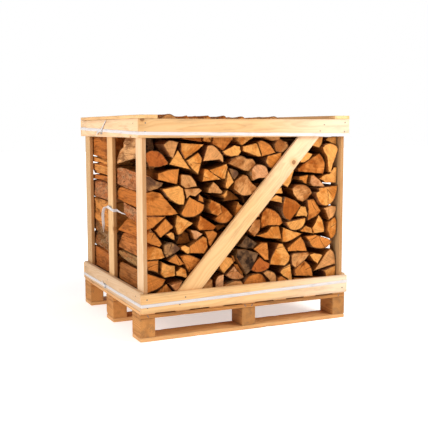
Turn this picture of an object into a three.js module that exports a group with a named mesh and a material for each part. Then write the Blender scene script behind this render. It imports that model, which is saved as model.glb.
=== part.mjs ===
// A slatted crate of split firewood, standing on a four-way pallet and held by three straps.
// Millimetres, +Z up. The origin is on the floor under the middle of the pallet. +X runs along
// the long side and -Y is the front, where the sawn ends of the logs and the brace show.

import * as THREE from "three";

// ---- Driving dimensions ----------------------------------------------------------------

const PALLET = { long: 1200, deep: 1000 };
const BOARD = { wide: 95, thick: 20 }; // the crate's one board size
const BOTTOM_BOARD = { wide: 125, thick: 22 };
const BLOCK = { long: 78, deep: 125, high: 95 };
const STRINGER = { wide: 125, thick: 21 };
const DECK_BOARD = { wide: 78, thick: 18, count: 7 };

const TOP_RAIL_UNDERSIDE = 1004;
const RAIL_DROP = 8; // how far the front and back rails hang over the deck boards' ends
const CAP_THICK = 19;
const MIDDLE_POST_OFFSET = 20; // the middle posts stand this far behind the centre line
const BRACE = { lowX: -410, highX: 443, run: 128.6 }; // centre line's ends, and width along X

const LOG_LENGTH = 472;
const END_SETBACK = 4; // a top log's ends lie this far inside its row's ends
const STACK = { halfLong: 557, gapBehindBrace: 2 };

// The front row's top, in X and Z from left to right: the crowns of its upper logs, and the
// hollows between them that the named top logs lie in. The back row's top is its mirror.
const STACK_TOP = [
  [-557, 952], [-508, 955], [-470, 978], [-430, 993], [-380, 990], [-360, 997],
  [-358, 1062], [-308, 1106], [-262, 1050], [-254, 990], [-250, 978], [-200, 970],
  [-197, 966], [-133, 929], [-76, 988], [-60, 978], [-53, 976], [-27, 953], [48, 997],
  [52, 1002], [54, 1062], [76, 1101], [100, 1066], [103, 1000], [104, 990], [155, 974],
  [200, 982], [207, 990], [212, 1040], [262, 1069], [308, 1048], [316, 1012], [352, 1062],
  [392, 1046], [400, 1000], [502, 1000], [506, 1004], [510, 1064], [540, 1088], [557, 1058],
];

// The named top logs of the front row, from left to right. Each section starts with the
// points of its round bark side, and its other sides are split flat.
const TOP_LOGS = [
  { bark: 5, section: [[-497, 1010], [-480, 1082], [-426, 1112], [-376, 1080], [-363, 1012],
    [-372, 1001], [-488, 1001]] },
  { bark: 3, section: [[-250, 1076], [-226, 1109], [-192, 1050], [-199, 977], [-245, 984]] },
  { bark: 3, section: [[-181, 1075], [-122, 1098], [-83, 1052], [-80, 994], [-133, 936],
    [-193, 972]] },
  { bark: 3, section: [[-52, 1066], [0, 1096], [44, 1058], [46, 1004], [-27, 960],
    [-50, 986]] },
  { bark: 3, section: [[107, 1070], [150, 1101], [203, 1046], [197, 989], [155, 981],
    [109, 997]] },
  { bark: 4, section: [[410, 1050], [440, 1090], [485, 1078], [500, 1030], [496, 1006],
    [404, 1006]] },
];
// The back row leaves out the narrow one, so its hollow stays open there.
const NARROW_LOG = TOP_LOGS[1];

const STRAP = { wide: 16, thick: 1, corner: 1.6 };
const TOP_STRAP = { z: 1023, risePerX: -0.0092, risePerY: 0.0221 };
const BOTTOM_STRAP = { z: 191, risePerX: 0.0192, risePerY: -0.0115 };
const MIDDLE_STRAP = { z: 612.5, risePerY: 0.12, strandEndsAtY: -286 };
const BUCKLE = { long: 34, high: 25, wire: 3, corner: 5 };
const GAP = 0.3; // between a strap and what it lies on, and under each top log

// The strap's loose end: the line it hangs along, from the middle buckle down to its tip.
const TAIL_ROUTE = [
  [-586, 31, 620], [-588.5, 40, 622.5], [-591, 50, 624], [-593, 60, 623.5],
  [-595, 70, 620.5], [-596.5, 79, 615], [-598, 87, 606.5], [-599, 93, 596],
  [-599.5, 97, 584], [-599.5, 99.5, 571], [-599.5, 100.5, 558], [-599, 100, 545],
  [-598.5, 98.5, 532], [-598, 96.5, 519], [-598, 94.5, 506], [-598, 93.5, 493],
  [-598, 94, 480],
];
// How the tape's width is turned along that line: a share of its length, then the direction.
const TAIL_TURNS = [
  [0, [0, 0, 1]], [0.22, [1, 0, 0]], [0.75, [1, 0, 0]], [1, [0.6, 0.8, 0]],
];
const TAIL_STEPS = 34;

// ---- Heights and faces worked out from them --------------------------------------------

const halfLong = PALLET.long / 2;
const halfDeep = PALLET.deep / 2;
const blockFoot = BOTTOM_BOARD.thick;
const blockTop = blockFoot + BLOCK.high;
const deckUnderside = blockTop + STRINGER.thick;
const deckTop = deckUnderside + DECK_BOARD.thick;
const topRailTop = TOP_RAIL_UNDERSIDE + BOARD.wide - 3;
const postFace = halfLong - BOARD.thick; // the side rails' inner face, where the posts stand
const postInner = postFace - BOARD.thick;
const braceInner = halfDeep - BOARD.thick;

// ---- Finishes --------------------------------------------------------------------------

const wood = (color, roughness = 0.8) =>
  () => new THREE.MeshStandardMaterial({ color, roughness, metalness: 0 });
const palletWood = wood(0xd29a5b);
const blockWood = wood(0xb97f45);
const crateWood = wood(0xecc794, 0.7);
const splitWood = wood(0xc07c40, 0.85);
const strapWeave = wood(0xece7e4, 0.55);
const buckleWire = () =>
  new THREE.MeshStandardMaterial({ color: 0x9a9da0, roughness: 0.35, metalness: 0.9 });

// ---- Ways of making a piece ------------------------------------------------------------

const crate = new THREE.Group();

function add(name, geometry, finish, place = () => {}) {
  const mesh = new THREE.Mesh(geometry, finish());
  mesh.name = name;
  place(mesh);
  crate.add(mesh);
}

// A sawn board or block between two faces along each axis.
function board(name, finish, [x0, x1], [y0, y1], [z0, z1]) {
  const size = [x1 - x0, y1 - y0, z1 - z0];
  add(name, new THREE.BoxGeometry(...size), finish, (mesh) =>
    mesh.position.set((x0 + x1) / 2, (y0 + y1) / 2, (z0 + z1) / 2));
}

// An outline drawn in X and Z, given depth along Y from its front face to its back face.
function standing(name, finish, outline, [front, back], curveSegments = 6) {
  const geometry = new THREE.ExtrudeGeometry(outline, {
    depth: back - front, bevelEnabled: false, curveSegments,
  });
  add(name, geometry, finish, (mesh) => {
    mesh.rotation.x = Math.PI / 2;
    mesh.position.y = back;
  });
}

function roundedRectangle(path, [x0, x1], [y0, y1], r) {
  path.moveTo(x0 + r, y0);
  path.lineTo(x1 - r, y0);
  path.absarc(x1 - r, y0 + r, r, -Math.PI / 2, 0, false);
  path.lineTo(x1, y1 - r);
  path.absarc(x1 - r, y1 - r, r, 0, Math.PI / 2, false);
  path.lineTo(x0 + r, y1);
  path.absarc(x0 + r, y1 - r, r, Math.PI / 2, Math.PI, false);
  path.lineTo(x0, y0 + r);
  path.absarc(x0 + r, y0 + r, r, Math.PI, Math.PI * 1.5, false);
  return path;
}

// A strap seen from above, given its width upright, then tipped so that it climbs evenly.
function strapBand(name, outline, { z, risePerX = 0, risePerY = 0 }) {
  const geometry = new THREE.ExtrudeGeometry(outline, {
    depth: STRAP.wide, bevelEnabled: false, curveSegments: 3,
  });
  geometry.translate(0, 0, z - STRAP.wide / 2);
  const tip = new THREE.Matrix4().set(
    1, 0, 0, 0,
    0, 1, 0, 0,
    risePerX, risePerY, 1, 0,
    0, 0, 0, 1,
  );
  add(name, geometry.applyMatrix4(tip), strapWeave);
}

// A strap that closes round a rectangle.
function strapRound(name, [x0, x1], [y0, y1], lie) {
  const out = GAP + STRAP.thick;
  const outer = roundedRectangle(
    new THREE.Shape(), [x0 - out, x1 + out], [y0 - out, y1 + out], STRAP.corner);
  outer.holes.push(roundedRectangle(
    new THREE.Path(), [x0 - GAP, x1 + GAP], [y0 - GAP, y1 + GAP], STRAP.corner - STRAP.thick));
  strapBand(name, outer, lie);
}

// A wire buckle with two windows, flat against the strap; its outer face is at x.
function buckle(name, x, y, z) {
  const { long, high, wire, corner } = BUCKLE;
  const frame = roundedRectangle(
    new THREE.Shape(), [-long / 2, long / 2], [-high / 2, high / 2], corner);
  const window = (long - 3 * wire) / 2;
  for (const left of [-long / 2 + wire, wire / 2]) {
    frame.holes.push(roundedRectangle(
      new THREE.Path(), [left, left + window], [-high / 2 + wire, high / 2 - wire], 2));
  }
  const geometry = new THREE.ExtrudeGeometry(frame, {
    depth: wire, bevelEnabled: false, curveSegments: 3,
  });
  const facing = new THREE.Matrix4().makeBasis(
    new THREE.Vector3(0, 1, 0), new THREE.Vector3(0, 0, 1), new THREE.Vector3(1, 0, 0));
  geometry.applyMatrix4(facing).translate(x, y, z);
  add(name, geometry, buckleWire);
}

// The tape's width direction at a share of its length, between the turns on either side.
function turnAt(share) {
  const next = Math.max(1, TAIL_TURNS.findIndex(([at]) => at >= share));
  const [[from, a], [to, b]] = [TAIL_TURNS[next - 1], TAIL_TURNS[next]];
  return new THREE.Vector3(...a).lerp(new THREE.Vector3(...b), (share - from) / (to - from));
}

// A flat tape along a curve: four corners at each step, joined into one closed body.
function tape(curve, steps) {
  const positions = [];
  const faces = [];
  for (let i = 0; i <= steps; i++) {
    const share = i / steps;
    const at = curve.getPointAt(share);
    const along = curve.getTangentAt(share);
    const across = turnAt(share).projectOnPlane(along).normalize();
    const out = new THREE.Vector3().crossVectors(along, across);
    for (const [w, t] of [[-1, -1], [1, -1], [1, 1], [-1, 1]]) {
      const corner = at.clone()
        .addScaledVector(across, w * STRAP.wide / 2)
        .addScaledVector(out, t * STRAP.thick / 2);
      positions.push(...corner.toArray());
    }
    if (i === steps) break;
    for (let k = 0; k < 4; k++) {
      const a = 4 * i + k;
      const b = 4 * i + (k + 1) % 4;
      faces.push(a, b, b + 4, a, b + 4, a + 4);
    }
  }
  const end = 4 * steps;
  faces.push(0, 3, 2, 0, 2, 1, end, end + 1, end + 2, end, end + 2, end + 3);
  const geometry = new THREE.BufferGeometry();
  geometry.setAttribute("position", new THREE.Float32BufferAttribute(positions, 3));
  geometry.setIndex(faces);
  geometry.computeVertexNormals();
  return geometry;
}

// ---- The pallet ------------------------------------------------------------------------

// The three rows of blocks, and the three blocks along each row, from low to high.
const rows = [
  ["front", -halfDeep], ["middle", -BLOCK.deep / 2], ["back", halfDeep - BLOCK.deep],
];
const columns = [
  ["left", -halfLong], ["centre", -BLOCK.long / 2], ["right", halfLong - BLOCK.long],
];

for (const [row, y] of rows) {
  const across = [y, y + BLOCK.deep];
  const alongPallet = [-halfLong, halfLong];
  board(`bottom_board_${row}`, palletWood, alongPallet, across, [0, blockFoot]);
  for (const [column, x] of columns) {
    board(`block_${row}_${column}`, blockWood, [x, x + BLOCK.long], across, [blockFoot, blockTop]);
  }
  board(`stringer_${row}`, palletWood, alongPallet, across, [blockTop, deckUnderside]);
}

const deckPitch = (PALLET.long - DECK_BOARD.wide) / (DECK_BOARD.count - 1);
for (let i = 0; i < DECK_BOARD.count; i++) {
  const x = -halfLong + i * deckPitch;
  board(`deck_board_${i + 1}`, palletWood, [x, x + DECK_BOARD.wide], [-halfDeep, halfDeep],
    [deckUnderside, deckTop]);
}

// ---- The crate's rails, caps, posts and braces -----------------------------------------

const frontRailFoot = deckTop - RAIL_DROP;
const topRailHeights = [TOP_RAIL_UNDERSIDE, topRailTop];
for (const [side, y] of [["front", -halfDeep - BOARD.thick], ["back", halfDeep]]) {
  const through = [y, y + BOARD.thick];
  board(`rail_bottom_${side}`, crateWood, [-halfLong, halfLong], through,
    [frontRailFoot, frontRailFoot + BOARD.wide]);
  board(`rail_top_${side}`, crateWood, [-halfLong, halfLong], through, topRailHeights);
}

const outerDeep = halfDeep + BOARD.thick;
const posts = [
  ["front", -halfDeep],
  ["middle", MIDDLE_POST_OFFSET - BOARD.wide / 2],
  ["back", halfDeep - BOARD.wide],
];
for (const [side, sign] of [["left", -1], ["right", 1]]) {
  const span = (near, far) => [sign * near, sign * far].sort((a, b) => a - b);
  const railAcross = span(postFace, halfLong);
  board(`rail_bottom_${side}`, crateWood, railAcross, [-halfDeep, halfDeep],
    [deckTop, deckTop + BOARD.wide]);
  board(`rail_top_${side}`, crateWood, railAcross, [-halfDeep, halfDeep], topRailHeights);
  board(`cap_${side}`, crateWood, span(halfLong - BOARD.wide, halfLong),
    [-outerDeep, outerDeep], [topRailTop, topRailTop + CAP_THICK]);
  for (const [place, y] of posts) {
    board(`post_${side}_${place}`, crateWood, span(postInner, postFace), [y, y + BOARD.wide],
      [deckTop, topRailTop]);
  }
}

// A brace is sawn level at both ends, so its outline is a leaning parallelogram.
function braceOutline() {
  const half = BRACE.run / 2;
  return new THREE.Shape([
    new THREE.Vector2(BRACE.lowX - half, deckTop + GAP),
    new THREE.Vector2(BRACE.lowX + half, deckTop + GAP),
    new THREE.Vector2(BRACE.highX + half, topRailTop),
    new THREE.Vector2(BRACE.highX - half, topRailTop),
  ]);
}
standing("brace_front", crateWood, braceOutline(), [-halfDeep, -braceInner]);
standing("brace_back", crateWood, braceOutline(), [braceInner, halfDeep]);

// ---- The firewood ----------------------------------------------------------------------

// One row of stacked logs, end to end with the other row: a solid that reaches the log ends.
function stackOutline(mirror) {
  const foot = deckTop + GAP;
  return new THREE.Shape([
    [-STACK.halfLong, foot], ...STACK_TOP, [STACK.halfLong, foot],
  ].map(([x, z]) => new THREE.Vector2(mirror * x, z)));
}

function logOutline({ bark, section }, mirror) {
  const corners = section.map(([x, z]) => new THREE.Vector2(mirror * x, z));
  const outline = new THREE.Shape();
  outline.moveTo(corners[0].x, corners[0].y);
  outline.splineThru(corners.slice(1, bark));
  for (const corner of corners.slice(bark)) outline.lineTo(corner.x, corner.y);
  outline.closePath();
  return outline;
}

const stackFront = -braceInner + STACK.gapBehindBrace;
for (const [row, mirror, ends, logs] of [
  ["front", 1, [stackFront, stackFront + LOG_LENGTH], TOP_LOGS],
  ["back", -1, [-stackFront - LOG_LENGTH, -stackFront], TOP_LOGS.filter((l) => l !== NARROW_LOG)],
]) {
  standing(`log_stack_${row}`, splitWood, stackOutline(mirror), ends);
  const topEnds = [ends[0] + END_SETBACK, ends[1] - END_SETBACK];
  logs.forEach((log, i) => {
    standing(`top_log_${row}_${i + 1}`, splitWood, logOutline(log, mirror), topEnds, 4);
  });
}

// ---- The straps and their buckles ------------------------------------------------------

const strapFace = halfLong + GAP + STRAP.thick;
for (const [name, lie, buckleY] of [["top", TOP_STRAP, 93], ["bottom", BOTTOM_STRAP, 76]]) {
  strapRound(`strap_${name}`, [-halfLong, halfLong], [-outerDeep, outerDeep], lie);
  const z = lie.z - lie.risePerX * strapFace + lie.risePerY * buckleY;
  buckle(`buckle_${name}`, -strapFace - GAP - BUCKLE.wire, buckleY, z);
}

// The middle strap goes round the left middle post, and a strand of it runs on from the
// post's inner face towards the front, along the ends of the rows, before it goes in
// between the logs.
function middleStrapOutline() {
  const [y0, y1] = [MIDDLE_POST_OFFSET - BOARD.wide / 2, MIDDLE_POST_OFFSET + BOARD.wide / 2];
  const out = GAP + STRAP.thick;
  const r = STRAP.corner;
  const [left, right] = [-postFace - out, -postInner + out];
  const [near, far] = [y0 - out, y1 + out];
  const outline = new THREE.Shape();
  outline.moveTo(left + r, near);
  outline.lineTo(right - STRAP.thick, near);
  outline.lineTo(right - STRAP.thick, MIDDLE_STRAP.strandEndsAtY);
  outline.lineTo(right, MIDDLE_STRAP.strandEndsAtY);
  outline.lineTo(right, far - r);
  outline.absarc(right - r, far - r, r, 0, Math.PI / 2, false);
  outline.lineTo(left + r, far);
  outline.absarc(left + r, far - r, r, Math.PI / 2, Math.PI, false);
  outline.lineTo(left, near + r);
  outline.absarc(left + r, near + r, r, Math.PI, Math.PI * 1.5, false);
  outline.holes.push(roundedRectangle(
    new THREE.Path(), [-postFace - GAP, -postInner + GAP], [y0 - GAP, y1 + GAP],
    r - STRAP.thick));
  return outline;
}
strapBand("strap_middle", middleStrapOutline(), MIDDLE_STRAP);
buckle("buckle_middle", -postFace - 2 * GAP - STRAP.thick - BUCKLE.wire, 12, 618);

const tailCurve = new THREE.CatmullRomCurve3(TAIL_ROUTE.map((p) => new THREE.Vector3(...p)));
add("strap_tail", tape(tailCurve, TAIL_STEPS), strapWeave);

export default crate;
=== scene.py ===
"""The looks of a slatted crate of split firewood that stands on a pallet with three straps round it.

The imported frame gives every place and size. Boards, straps, buckles and logs are built over it as
detailed meshes and dressed with procedural finishes. Metres, +Z up, -Y is the front.
"""

import logging
import math
from dataclasses import dataclass, field, replace
from enum import Enum
from typing import Any, Optional, Sequence

import bpy
import numpy as np
from mathutils import Matrix, Vector


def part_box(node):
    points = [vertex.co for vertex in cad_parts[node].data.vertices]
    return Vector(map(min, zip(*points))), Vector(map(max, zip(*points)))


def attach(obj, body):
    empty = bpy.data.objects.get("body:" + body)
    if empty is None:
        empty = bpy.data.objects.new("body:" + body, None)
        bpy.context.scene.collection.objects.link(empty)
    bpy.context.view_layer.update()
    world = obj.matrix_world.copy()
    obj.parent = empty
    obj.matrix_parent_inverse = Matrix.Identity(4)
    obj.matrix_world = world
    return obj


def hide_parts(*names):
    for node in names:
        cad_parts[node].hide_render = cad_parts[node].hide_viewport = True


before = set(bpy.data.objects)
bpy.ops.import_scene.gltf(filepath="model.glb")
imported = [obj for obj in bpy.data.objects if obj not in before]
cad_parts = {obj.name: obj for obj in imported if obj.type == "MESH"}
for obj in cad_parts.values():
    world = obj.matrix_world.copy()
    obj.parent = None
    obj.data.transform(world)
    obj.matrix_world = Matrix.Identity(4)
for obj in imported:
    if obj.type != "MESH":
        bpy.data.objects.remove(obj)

log = logging.getLogger("firewood_crate")

Colour = tuple[float, float, float]
Array = np.ndarray
Socket = Any
Piece = bpy.types.Object
Material = bpy.types.Material
CM = 0.01
MM = 0.001


def paint(code: str) -> Colour:
    """Turns a screen colour into the linear colour that the shaders take.

    Args:
        code: six hexadecimal digits, red first.

    Returns:
        Linear red, green and blue.
    """
    parts = [int(code[i : i + 2], 16) / 255 for i in (0, 2, 4)]
    return tuple(c / 12.92 if c <= 0.04045 else ((c + 0.055) / 1.055) ** 2.4 for c in parts)


# ---- Named choices ----


class Tone(Enum):
    """Colours of a log's sawn end, each with the colour of the blotches on it."""

    AMBER = ("cc7c38", "9c5018")
    HONEY = ("e29a50", "c4742e")
    TAN = ("d09056", "a0602e")
    RUST = ("b8622a", "7a3414")
    GREY = ("b07c4c", "664430")
    SLATE = ("7e5a3c", "2e1e14")
    ROSE = ("da9a68", "b07040")
    # Painted shade: the tone of ends that sit back in recesses and deep in the gaps of the stack.
    PAINTED_SHADE = ("7c4416", "3a1a04")

    @property
    def face(self) -> Colour:
        """The colour of clean wood."""
        return paint(self.value[0])

    @property
    def blotch(self) -> Colour:
        """The colour of its blotches."""
        return paint(self.value[1])


class Side(Enum):
    """Colours of a log's long faces, split or in bark."""

    SPLIT_HONEY = "cc8644"
    SPLIT_AMBER = "b4682c"
    SPLIT_BROWN = "9c6234"
    SPLIT_TAN = "cf9a66"
    SPLIT_RUST = "a9622e"
    BARK_BROWN = "8a5c34"
    BARK_RUST = "b8703a"
    BARK_ROSE = "b8764a"
    BARK_GREY = "a87c4c"

    @property
    def colour(self) -> Colour:
        """The linear colour."""
        return paint(self.value)


class Surface(Enum):
    """What a face of a log is; the value is its material's place on the log."""

    SAWN = 0
    SPLIT = 1
    BARK = 2


# ---- Shader building ----


class ShaderPad:
    """Lays out and links the nodes of one material."""

    def __init__(self, name: str) -> None:
        """Starts a material with a principled shader.

        Args:
            name: the material's name.
        """
        self.material = bpy.data.materials.new(name)
        self.material.use_nodes = True
        self.nodes = self.material.node_tree.nodes
        self.links = self.material.node_tree.links
        self.nodes.clear()
        output = self.nodes.new("ShaderNodeOutputMaterial")
        self.shader = self.nodes.new("ShaderNodeBsdfPrincipled")
        self.links.new(self.shader.outputs[0], output.inputs[0])

    def feed(self, socket: Socket, value: Any) -> None:
        """Links a socket to another, or sets its value.

        Args:
            socket: the input.
            value: an output socket, a number, a vector or a colour.
        """
        if isinstance(value, bpy.types.NodeSocket):
            self.links.new(value, socket)
        elif isinstance(value, tuple) and len(value) == 3 and socket.type == "RGBA":
            socket.default_value = (*value, 1.0)
        else:
            socket.default_value = value

    def carried(self, name: str, part: str = "Vector") -> Socket:
        """A value that the mesh carries.

        Args:
            name: the value's name.
            part: which output of the node is wanted.

        Returns:
            The value.
        """
        node = self.nodes.new("ShaderNodeAttribute")
        node.attribute_name = name
        return node.outputs[part]

    def math(self, operation: str, a: Any, b: Any = 0.0, c: Any = 0.0) -> Socket:
        """One step of arithmetic.

        Args:
            operation: Blender's name of the operation.
            a: the first number.
            b: the second number.
            c: the third number.

        Returns:
            The answer.
        """
        node = self.nodes.new("ShaderNodeMath")
        node.operation = operation
        for socket, value in zip(node.inputs, (a, b, c)):
            self.feed(socket, value)
        return node.outputs[0]

    def times(self, a: Any, b: Any) -> Socket:
        """Two numbers multiplied."""
        return self.math("MULTIPLY", a, b)

    def total(self, base: Any, *parts: tuple[Any, Any]) -> Socket:
        """Adds scaled parts to a number.

        Args:
            base: the number.
            parts: each part and its scale.

        Returns:
            The sum.
        """
        for part, scale in parts:
            base = self.math("MULTIPLY_ADD", part, scale, base)
        return base

    def vector(self, operation: str, a: Any, b: Any = (0.0, 0.0, 0.0)) -> Socket:
        """One step of arithmetic on vectors.

        Args:
            operation: Blender's name of the operation.
            a: the first vector.
            b: the second vector, or the number for SCALE.

        Returns:
            The answer, a number for LENGTH and DISTANCE.
        """
        node = self.nodes.new("ShaderNodeVectorMath")
        node.operation = operation
        self.feed(node.inputs[0], a)
        self.feed(node.inputs["Scale"] if operation == "SCALE" else node.inputs[1], b)
        return node.outputs["Value" if operation in ("LENGTH", "DISTANCE") else "Vector"]

    def split(self, vector: Socket) -> list[Socket]:
        """The three parts of a vector.

        Args:
            vector: the vector socket.

        Returns:
            Its x, y and z sockets.
        """
        node = self.nodes.new("ShaderNodeSeparateXYZ")
        self.feed(node.inputs[0], vector)
        return list(node.outputs)

    def join(self, x: Any, y: Any, z: Any) -> Socket:
        """A vector made of three numbers.

        Args:
            x: first part, a number or a socket.
            y: second part.
            z: third part.

        Returns:
            The vector socket.
        """
        node = self.nodes.new("ShaderNodeCombineXYZ")
        for socket, value in zip(node.inputs, (x, y, z)):
            self.feed(socket, value)
        return node.outputs[0]

    def stretch(self, place: Socket, across: float, along: float) -> Socket:
        """Scales a place, with its own scale along the grain.

        Args:
            place: the place from the pith, in metres.
            across: the scale across the grain, per metre.
            along: the scale along the grain, per metre.

        Returns:
            The scaled place.
        """
        return self.vector("MULTIPLY", place, (across, across, along))

    def moved(self, grain: Socket, luck: Socket) -> Socket:
        """A place far off in the noise, so that no two pieces look the same."""
        return self.vector("ADD", grain, self.vector("SCALE", self.join(37.0, 23.0, 11.0), luck))

    def swayed(self, place: Socket, sway: Socket, amount: float) -> Socket:
        """Pushes a place about.

        Args:
            place: the place.
            sway: three noises.
            amount: how far they push it, in metres.

        Returns:
            The pushed place.
        """
        push = self.vector("SUBTRACT", sway, (0.5, 0.5, 0.5))
        return self.vector("ADD", place, self.vector("SCALE", push, amount))

    def noise(self, place: Socket, scale: float = 1.0, detail: float = 2.0, rough: float = 0.5,
              colour: bool = False) -> Socket:
        """A soft noise.

        Args:
            place: where it is read.
            scale: how fine it is.
            detail: its layers.
            rough: how strong its finer layers are.
            colour: whether three noises are wanted in place of one.

        Returns:
            The noise, about 0.5 on average.
        """
        node = self.nodes.new("ShaderNodeTexNoise")
        self.feed(node.inputs["Vector"], place)
        node.inputs["Scale"].default_value = scale
        node.inputs["Detail"].default_value = detail
        node.inputs["Roughness"].default_value = rough
        return node.outputs["Color" if colour else "Fac"]

    def cells(self, place: Socket, feature: str = "F1") -> Any:
        """A cell texture node.

        Args:
            place: where it is read.
            feature: Blender's name of what is measured.

        Returns:
            The node.
        """
        node = self.nodes.new("ShaderNodeTexVoronoi")
        node.feature = feature
        self.feed(node.inputs["Vector"], place)
        node.inputs["Scale"].default_value = 1.0
        return node

    def span(self, value: Socket, low: float, high: float, start: float = 0.0,
             end: float = 1.0) -> Socket:
        """Maps a stretch of values smoothly onto another.

        Args:
            value: the value.
            low: where the stretch starts.
            high: where it ends.
            start: the answer at low and below.
            end: the answer at high and above.

        Returns:
            The answer.
        """
        node = self.nodes.new("ShaderNodeMapRange")
        node.interpolation_type = "SMOOTHSTEP"
        for socket, part in zip(node.inputs, (value, low, high, start, end)):
            self.feed(socket, part)
        return node.outputs[0]

    def mix(self, share: Any, a: Any, b: Any) -> Socket:
        """Mixes two colours.

        Args:
            share: how much of the second, from 0 to 1.
            a: the first colour.
            b: the second colour.

        Returns:
            The mixed colour.
        """
        node = self.nodes.new("ShaderNodeMix")
        node.data_type = "RGBA"
        self.feed(node.inputs[0], share)
        self.feed(node.inputs[6], a)
        self.feed(node.inputs[7], b)
        return node.outputs[2]

    def shade(self, colour: Socket, amount: Socket) -> Socket:
        """Makes a colour lighter or darker by a factor."""
        return self.vector("SCALE", colour, amount)

    def bump(self, height: Socket, strength: float = 1.0) -> None:
        """Gives the shader a relief.

        Args:
            height: the relief, in metres.
            strength: how much of it shows.
        """
        node = self.nodes.new("ShaderNodeBump")
        node.inputs["Distance"].default_value = 1.0
        node.inputs["Strength"].default_value = strength
        self.feed(node.inputs["Height"], height)
        self.links.new(node.outputs[0], self.shader.inputs["Normal"])

    def done(self, colour: Socket, roughness: Any, specular: float = 0.3) -> Material:
        """Feeds the shader and hands the material over.

        Args:
            colour: the surface colour.
            roughness: a number, or a socket where it changes over the surface.
            specular: the gloss level.

        Returns:
            The material.
        """
        self.feed(self.shader.inputs["Base Color"], colour)
        self.feed(self.shader.inputs["Roughness"], roughness)
        self.shader.inputs["Specular IOR Level"].default_value = specular
        return self.material


# ---- Finishes ----


@dataclass(frozen=True)
class SawnEndFinish:
    """End grain of a split log: rings, saw strokes, blotches, radial checks, a bark line and painted shade
    along its edge.
    """

    name: str = "firewood_sawn_end"
    ring: float = 3.4 * MM
    spokes: int = 11
    bark_line_and_edge_shade: Colour = paint("4a2f1c")
    check: Colour = paint("2a1608")
    roughness: float = 0.78

    def material(self) -> Material:
        """Builds the material from the log's own grain, tones and luck.

        Returns:
            The material.
        """
        pad = ShaderPad(self.name)
        grain = pad.carried("grain")
        tone = pad.carried("tone", "Color")
        blotch = pad.carried("blotch", "Color")
        luck, mottle, checks = pad.split(pad.carried("luck"))
        rim = pad.carried("rim", "Fac")
        place = pad.moved(grain, luck)
        bent = pad.swayed(grain, pad.noise(place, 26.0, 2.0, colour=True), 0.012)
        x, y, _ = pad.split(bent)
        radius = pad.vector("LENGTH", pad.join(x, y, 0.0))
        rings = pad.math("SINE", pad.times(radius, 2 * math.pi / self.ring))
        bands = pad.noise(pad.join(pad.times(radius, 90.0), pad.times(luck, 50.0), 0.0), 1.0, 1.0)
        # Saw strokes run straight across the end, at an angle of the log's own.
        turn = pad.times(luck, 19.0)
        gx, gy, _ = pad.split(grain)
        cos, sin = pad.math("COSINE", turn), pad.math("SINE", turn)
        u = pad.total(pad.times(gy, sin), (gx, cos))
        v = pad.total(pad.times(pad.times(gx, sin), -1.0), (gy, cos))
        strokes = pad.noise(pad.join(pad.times(u, 9.0), pad.times(v, 230.0), pad.times(luck, 60.0)), 1.0,
                            2.0, 0.6)
        broad = pad.noise(pad.join(pad.times(u, 6.0), pad.times(v, 95.0), pad.times(luck, 20.0)), 1.0, 2.0,
                          0.6)
        fuzz = pad.noise(place, 420.0, 2.0, 0.7)
        # Radial checks: spokes from the pith, a few of them open.
        angle = pad.math("ARCTAN2", y, x)
        spoke = pad.total(pad.times(luck, 9.0), (angle, self.spokes / (2 * math.pi)))
        off = pad.math("ABSOLUTE", pad.math("SUBTRACT", pad.math("FRACT", spoke), 0.5))
        width = pad.times(pad.times(off, radius), 2 * math.pi / self.spokes)
        open_here = pad.noise(pad.join(pad.times(pad.math("FLOOR", spoke), 7.3), pad.times(radius, 11.0),
                                       luck), 1.0, 1.0)
        gate = pad.span(pad.math("ADD", open_here, pad.times(checks, 0.22)), 0.74, 0.82)
        crack = pad.times(pad.span(width, 0.5 * MM, 1.7 * MM, 1.0, 0.0), gate)
        patch = pad.noise(place, 15.0, 4.0, 0.62)
        spread = pad.span(pad.math("ADD", patch, pad.times(pad.math("SUBTRACT", mottle, 0.5), 0.28)), 0.46,
                          0.66)
        colour = pad.mix(spread, tone, blotch)
        # Broad smudges darken parts of the end, and small stains lie about.
        smudge = pad.noise(place, 33.0, 3.0, 0.6)
        stain = pad.span(pad.noise(place, 75.0, 3.0, 0.65), 0.6, 0.7)
        colour = pad.mix(pad.times(stain, 0.4), colour, blotch)
        rays = pad.noise(pad.join(pad.times(angle, 9.0), pad.times(radius, 14.0), pad.times(luck, 30.0)),
                         1.0, 2.0, 0.6)
        light = pad.total(-0.42, (rings, 0.03), (smudge, 0.5), (strokes, 0.6), (broad, 0.6), (rays, 0.7),
                          (bands, 0.2), (pad.math("SUBTRACT", fuzz, 0.5), 0.22))
        colour = pad.shade(colour, light)
        # The dark bark line along bark edges, then painted shade that darkens every edge of the end, split or
        # bark.
        colour = pad.mix(pad.span(rim, 0.45, 0.85), colour, self.bark_line_and_edge_shade)
        colour = pad.mix(pad.times(pad.span(rim, 0.0, 0.5), 0.4), colour, self.bark_line_and_edge_shade)
        colour = pad.mix(crack, colour, self.check)
        height = pad.total(0.0, (strokes, 0.9 * MM), (fuzz, 0.5 * MM), (rings, 0.05 * MM), (crack, -2.5 * MM))
        pad.bump(height, 0.8)
        return pad.done(colour, pad.total(self.roughness - 0.1, (fuzz, 0.2)), 0.06)


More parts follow.
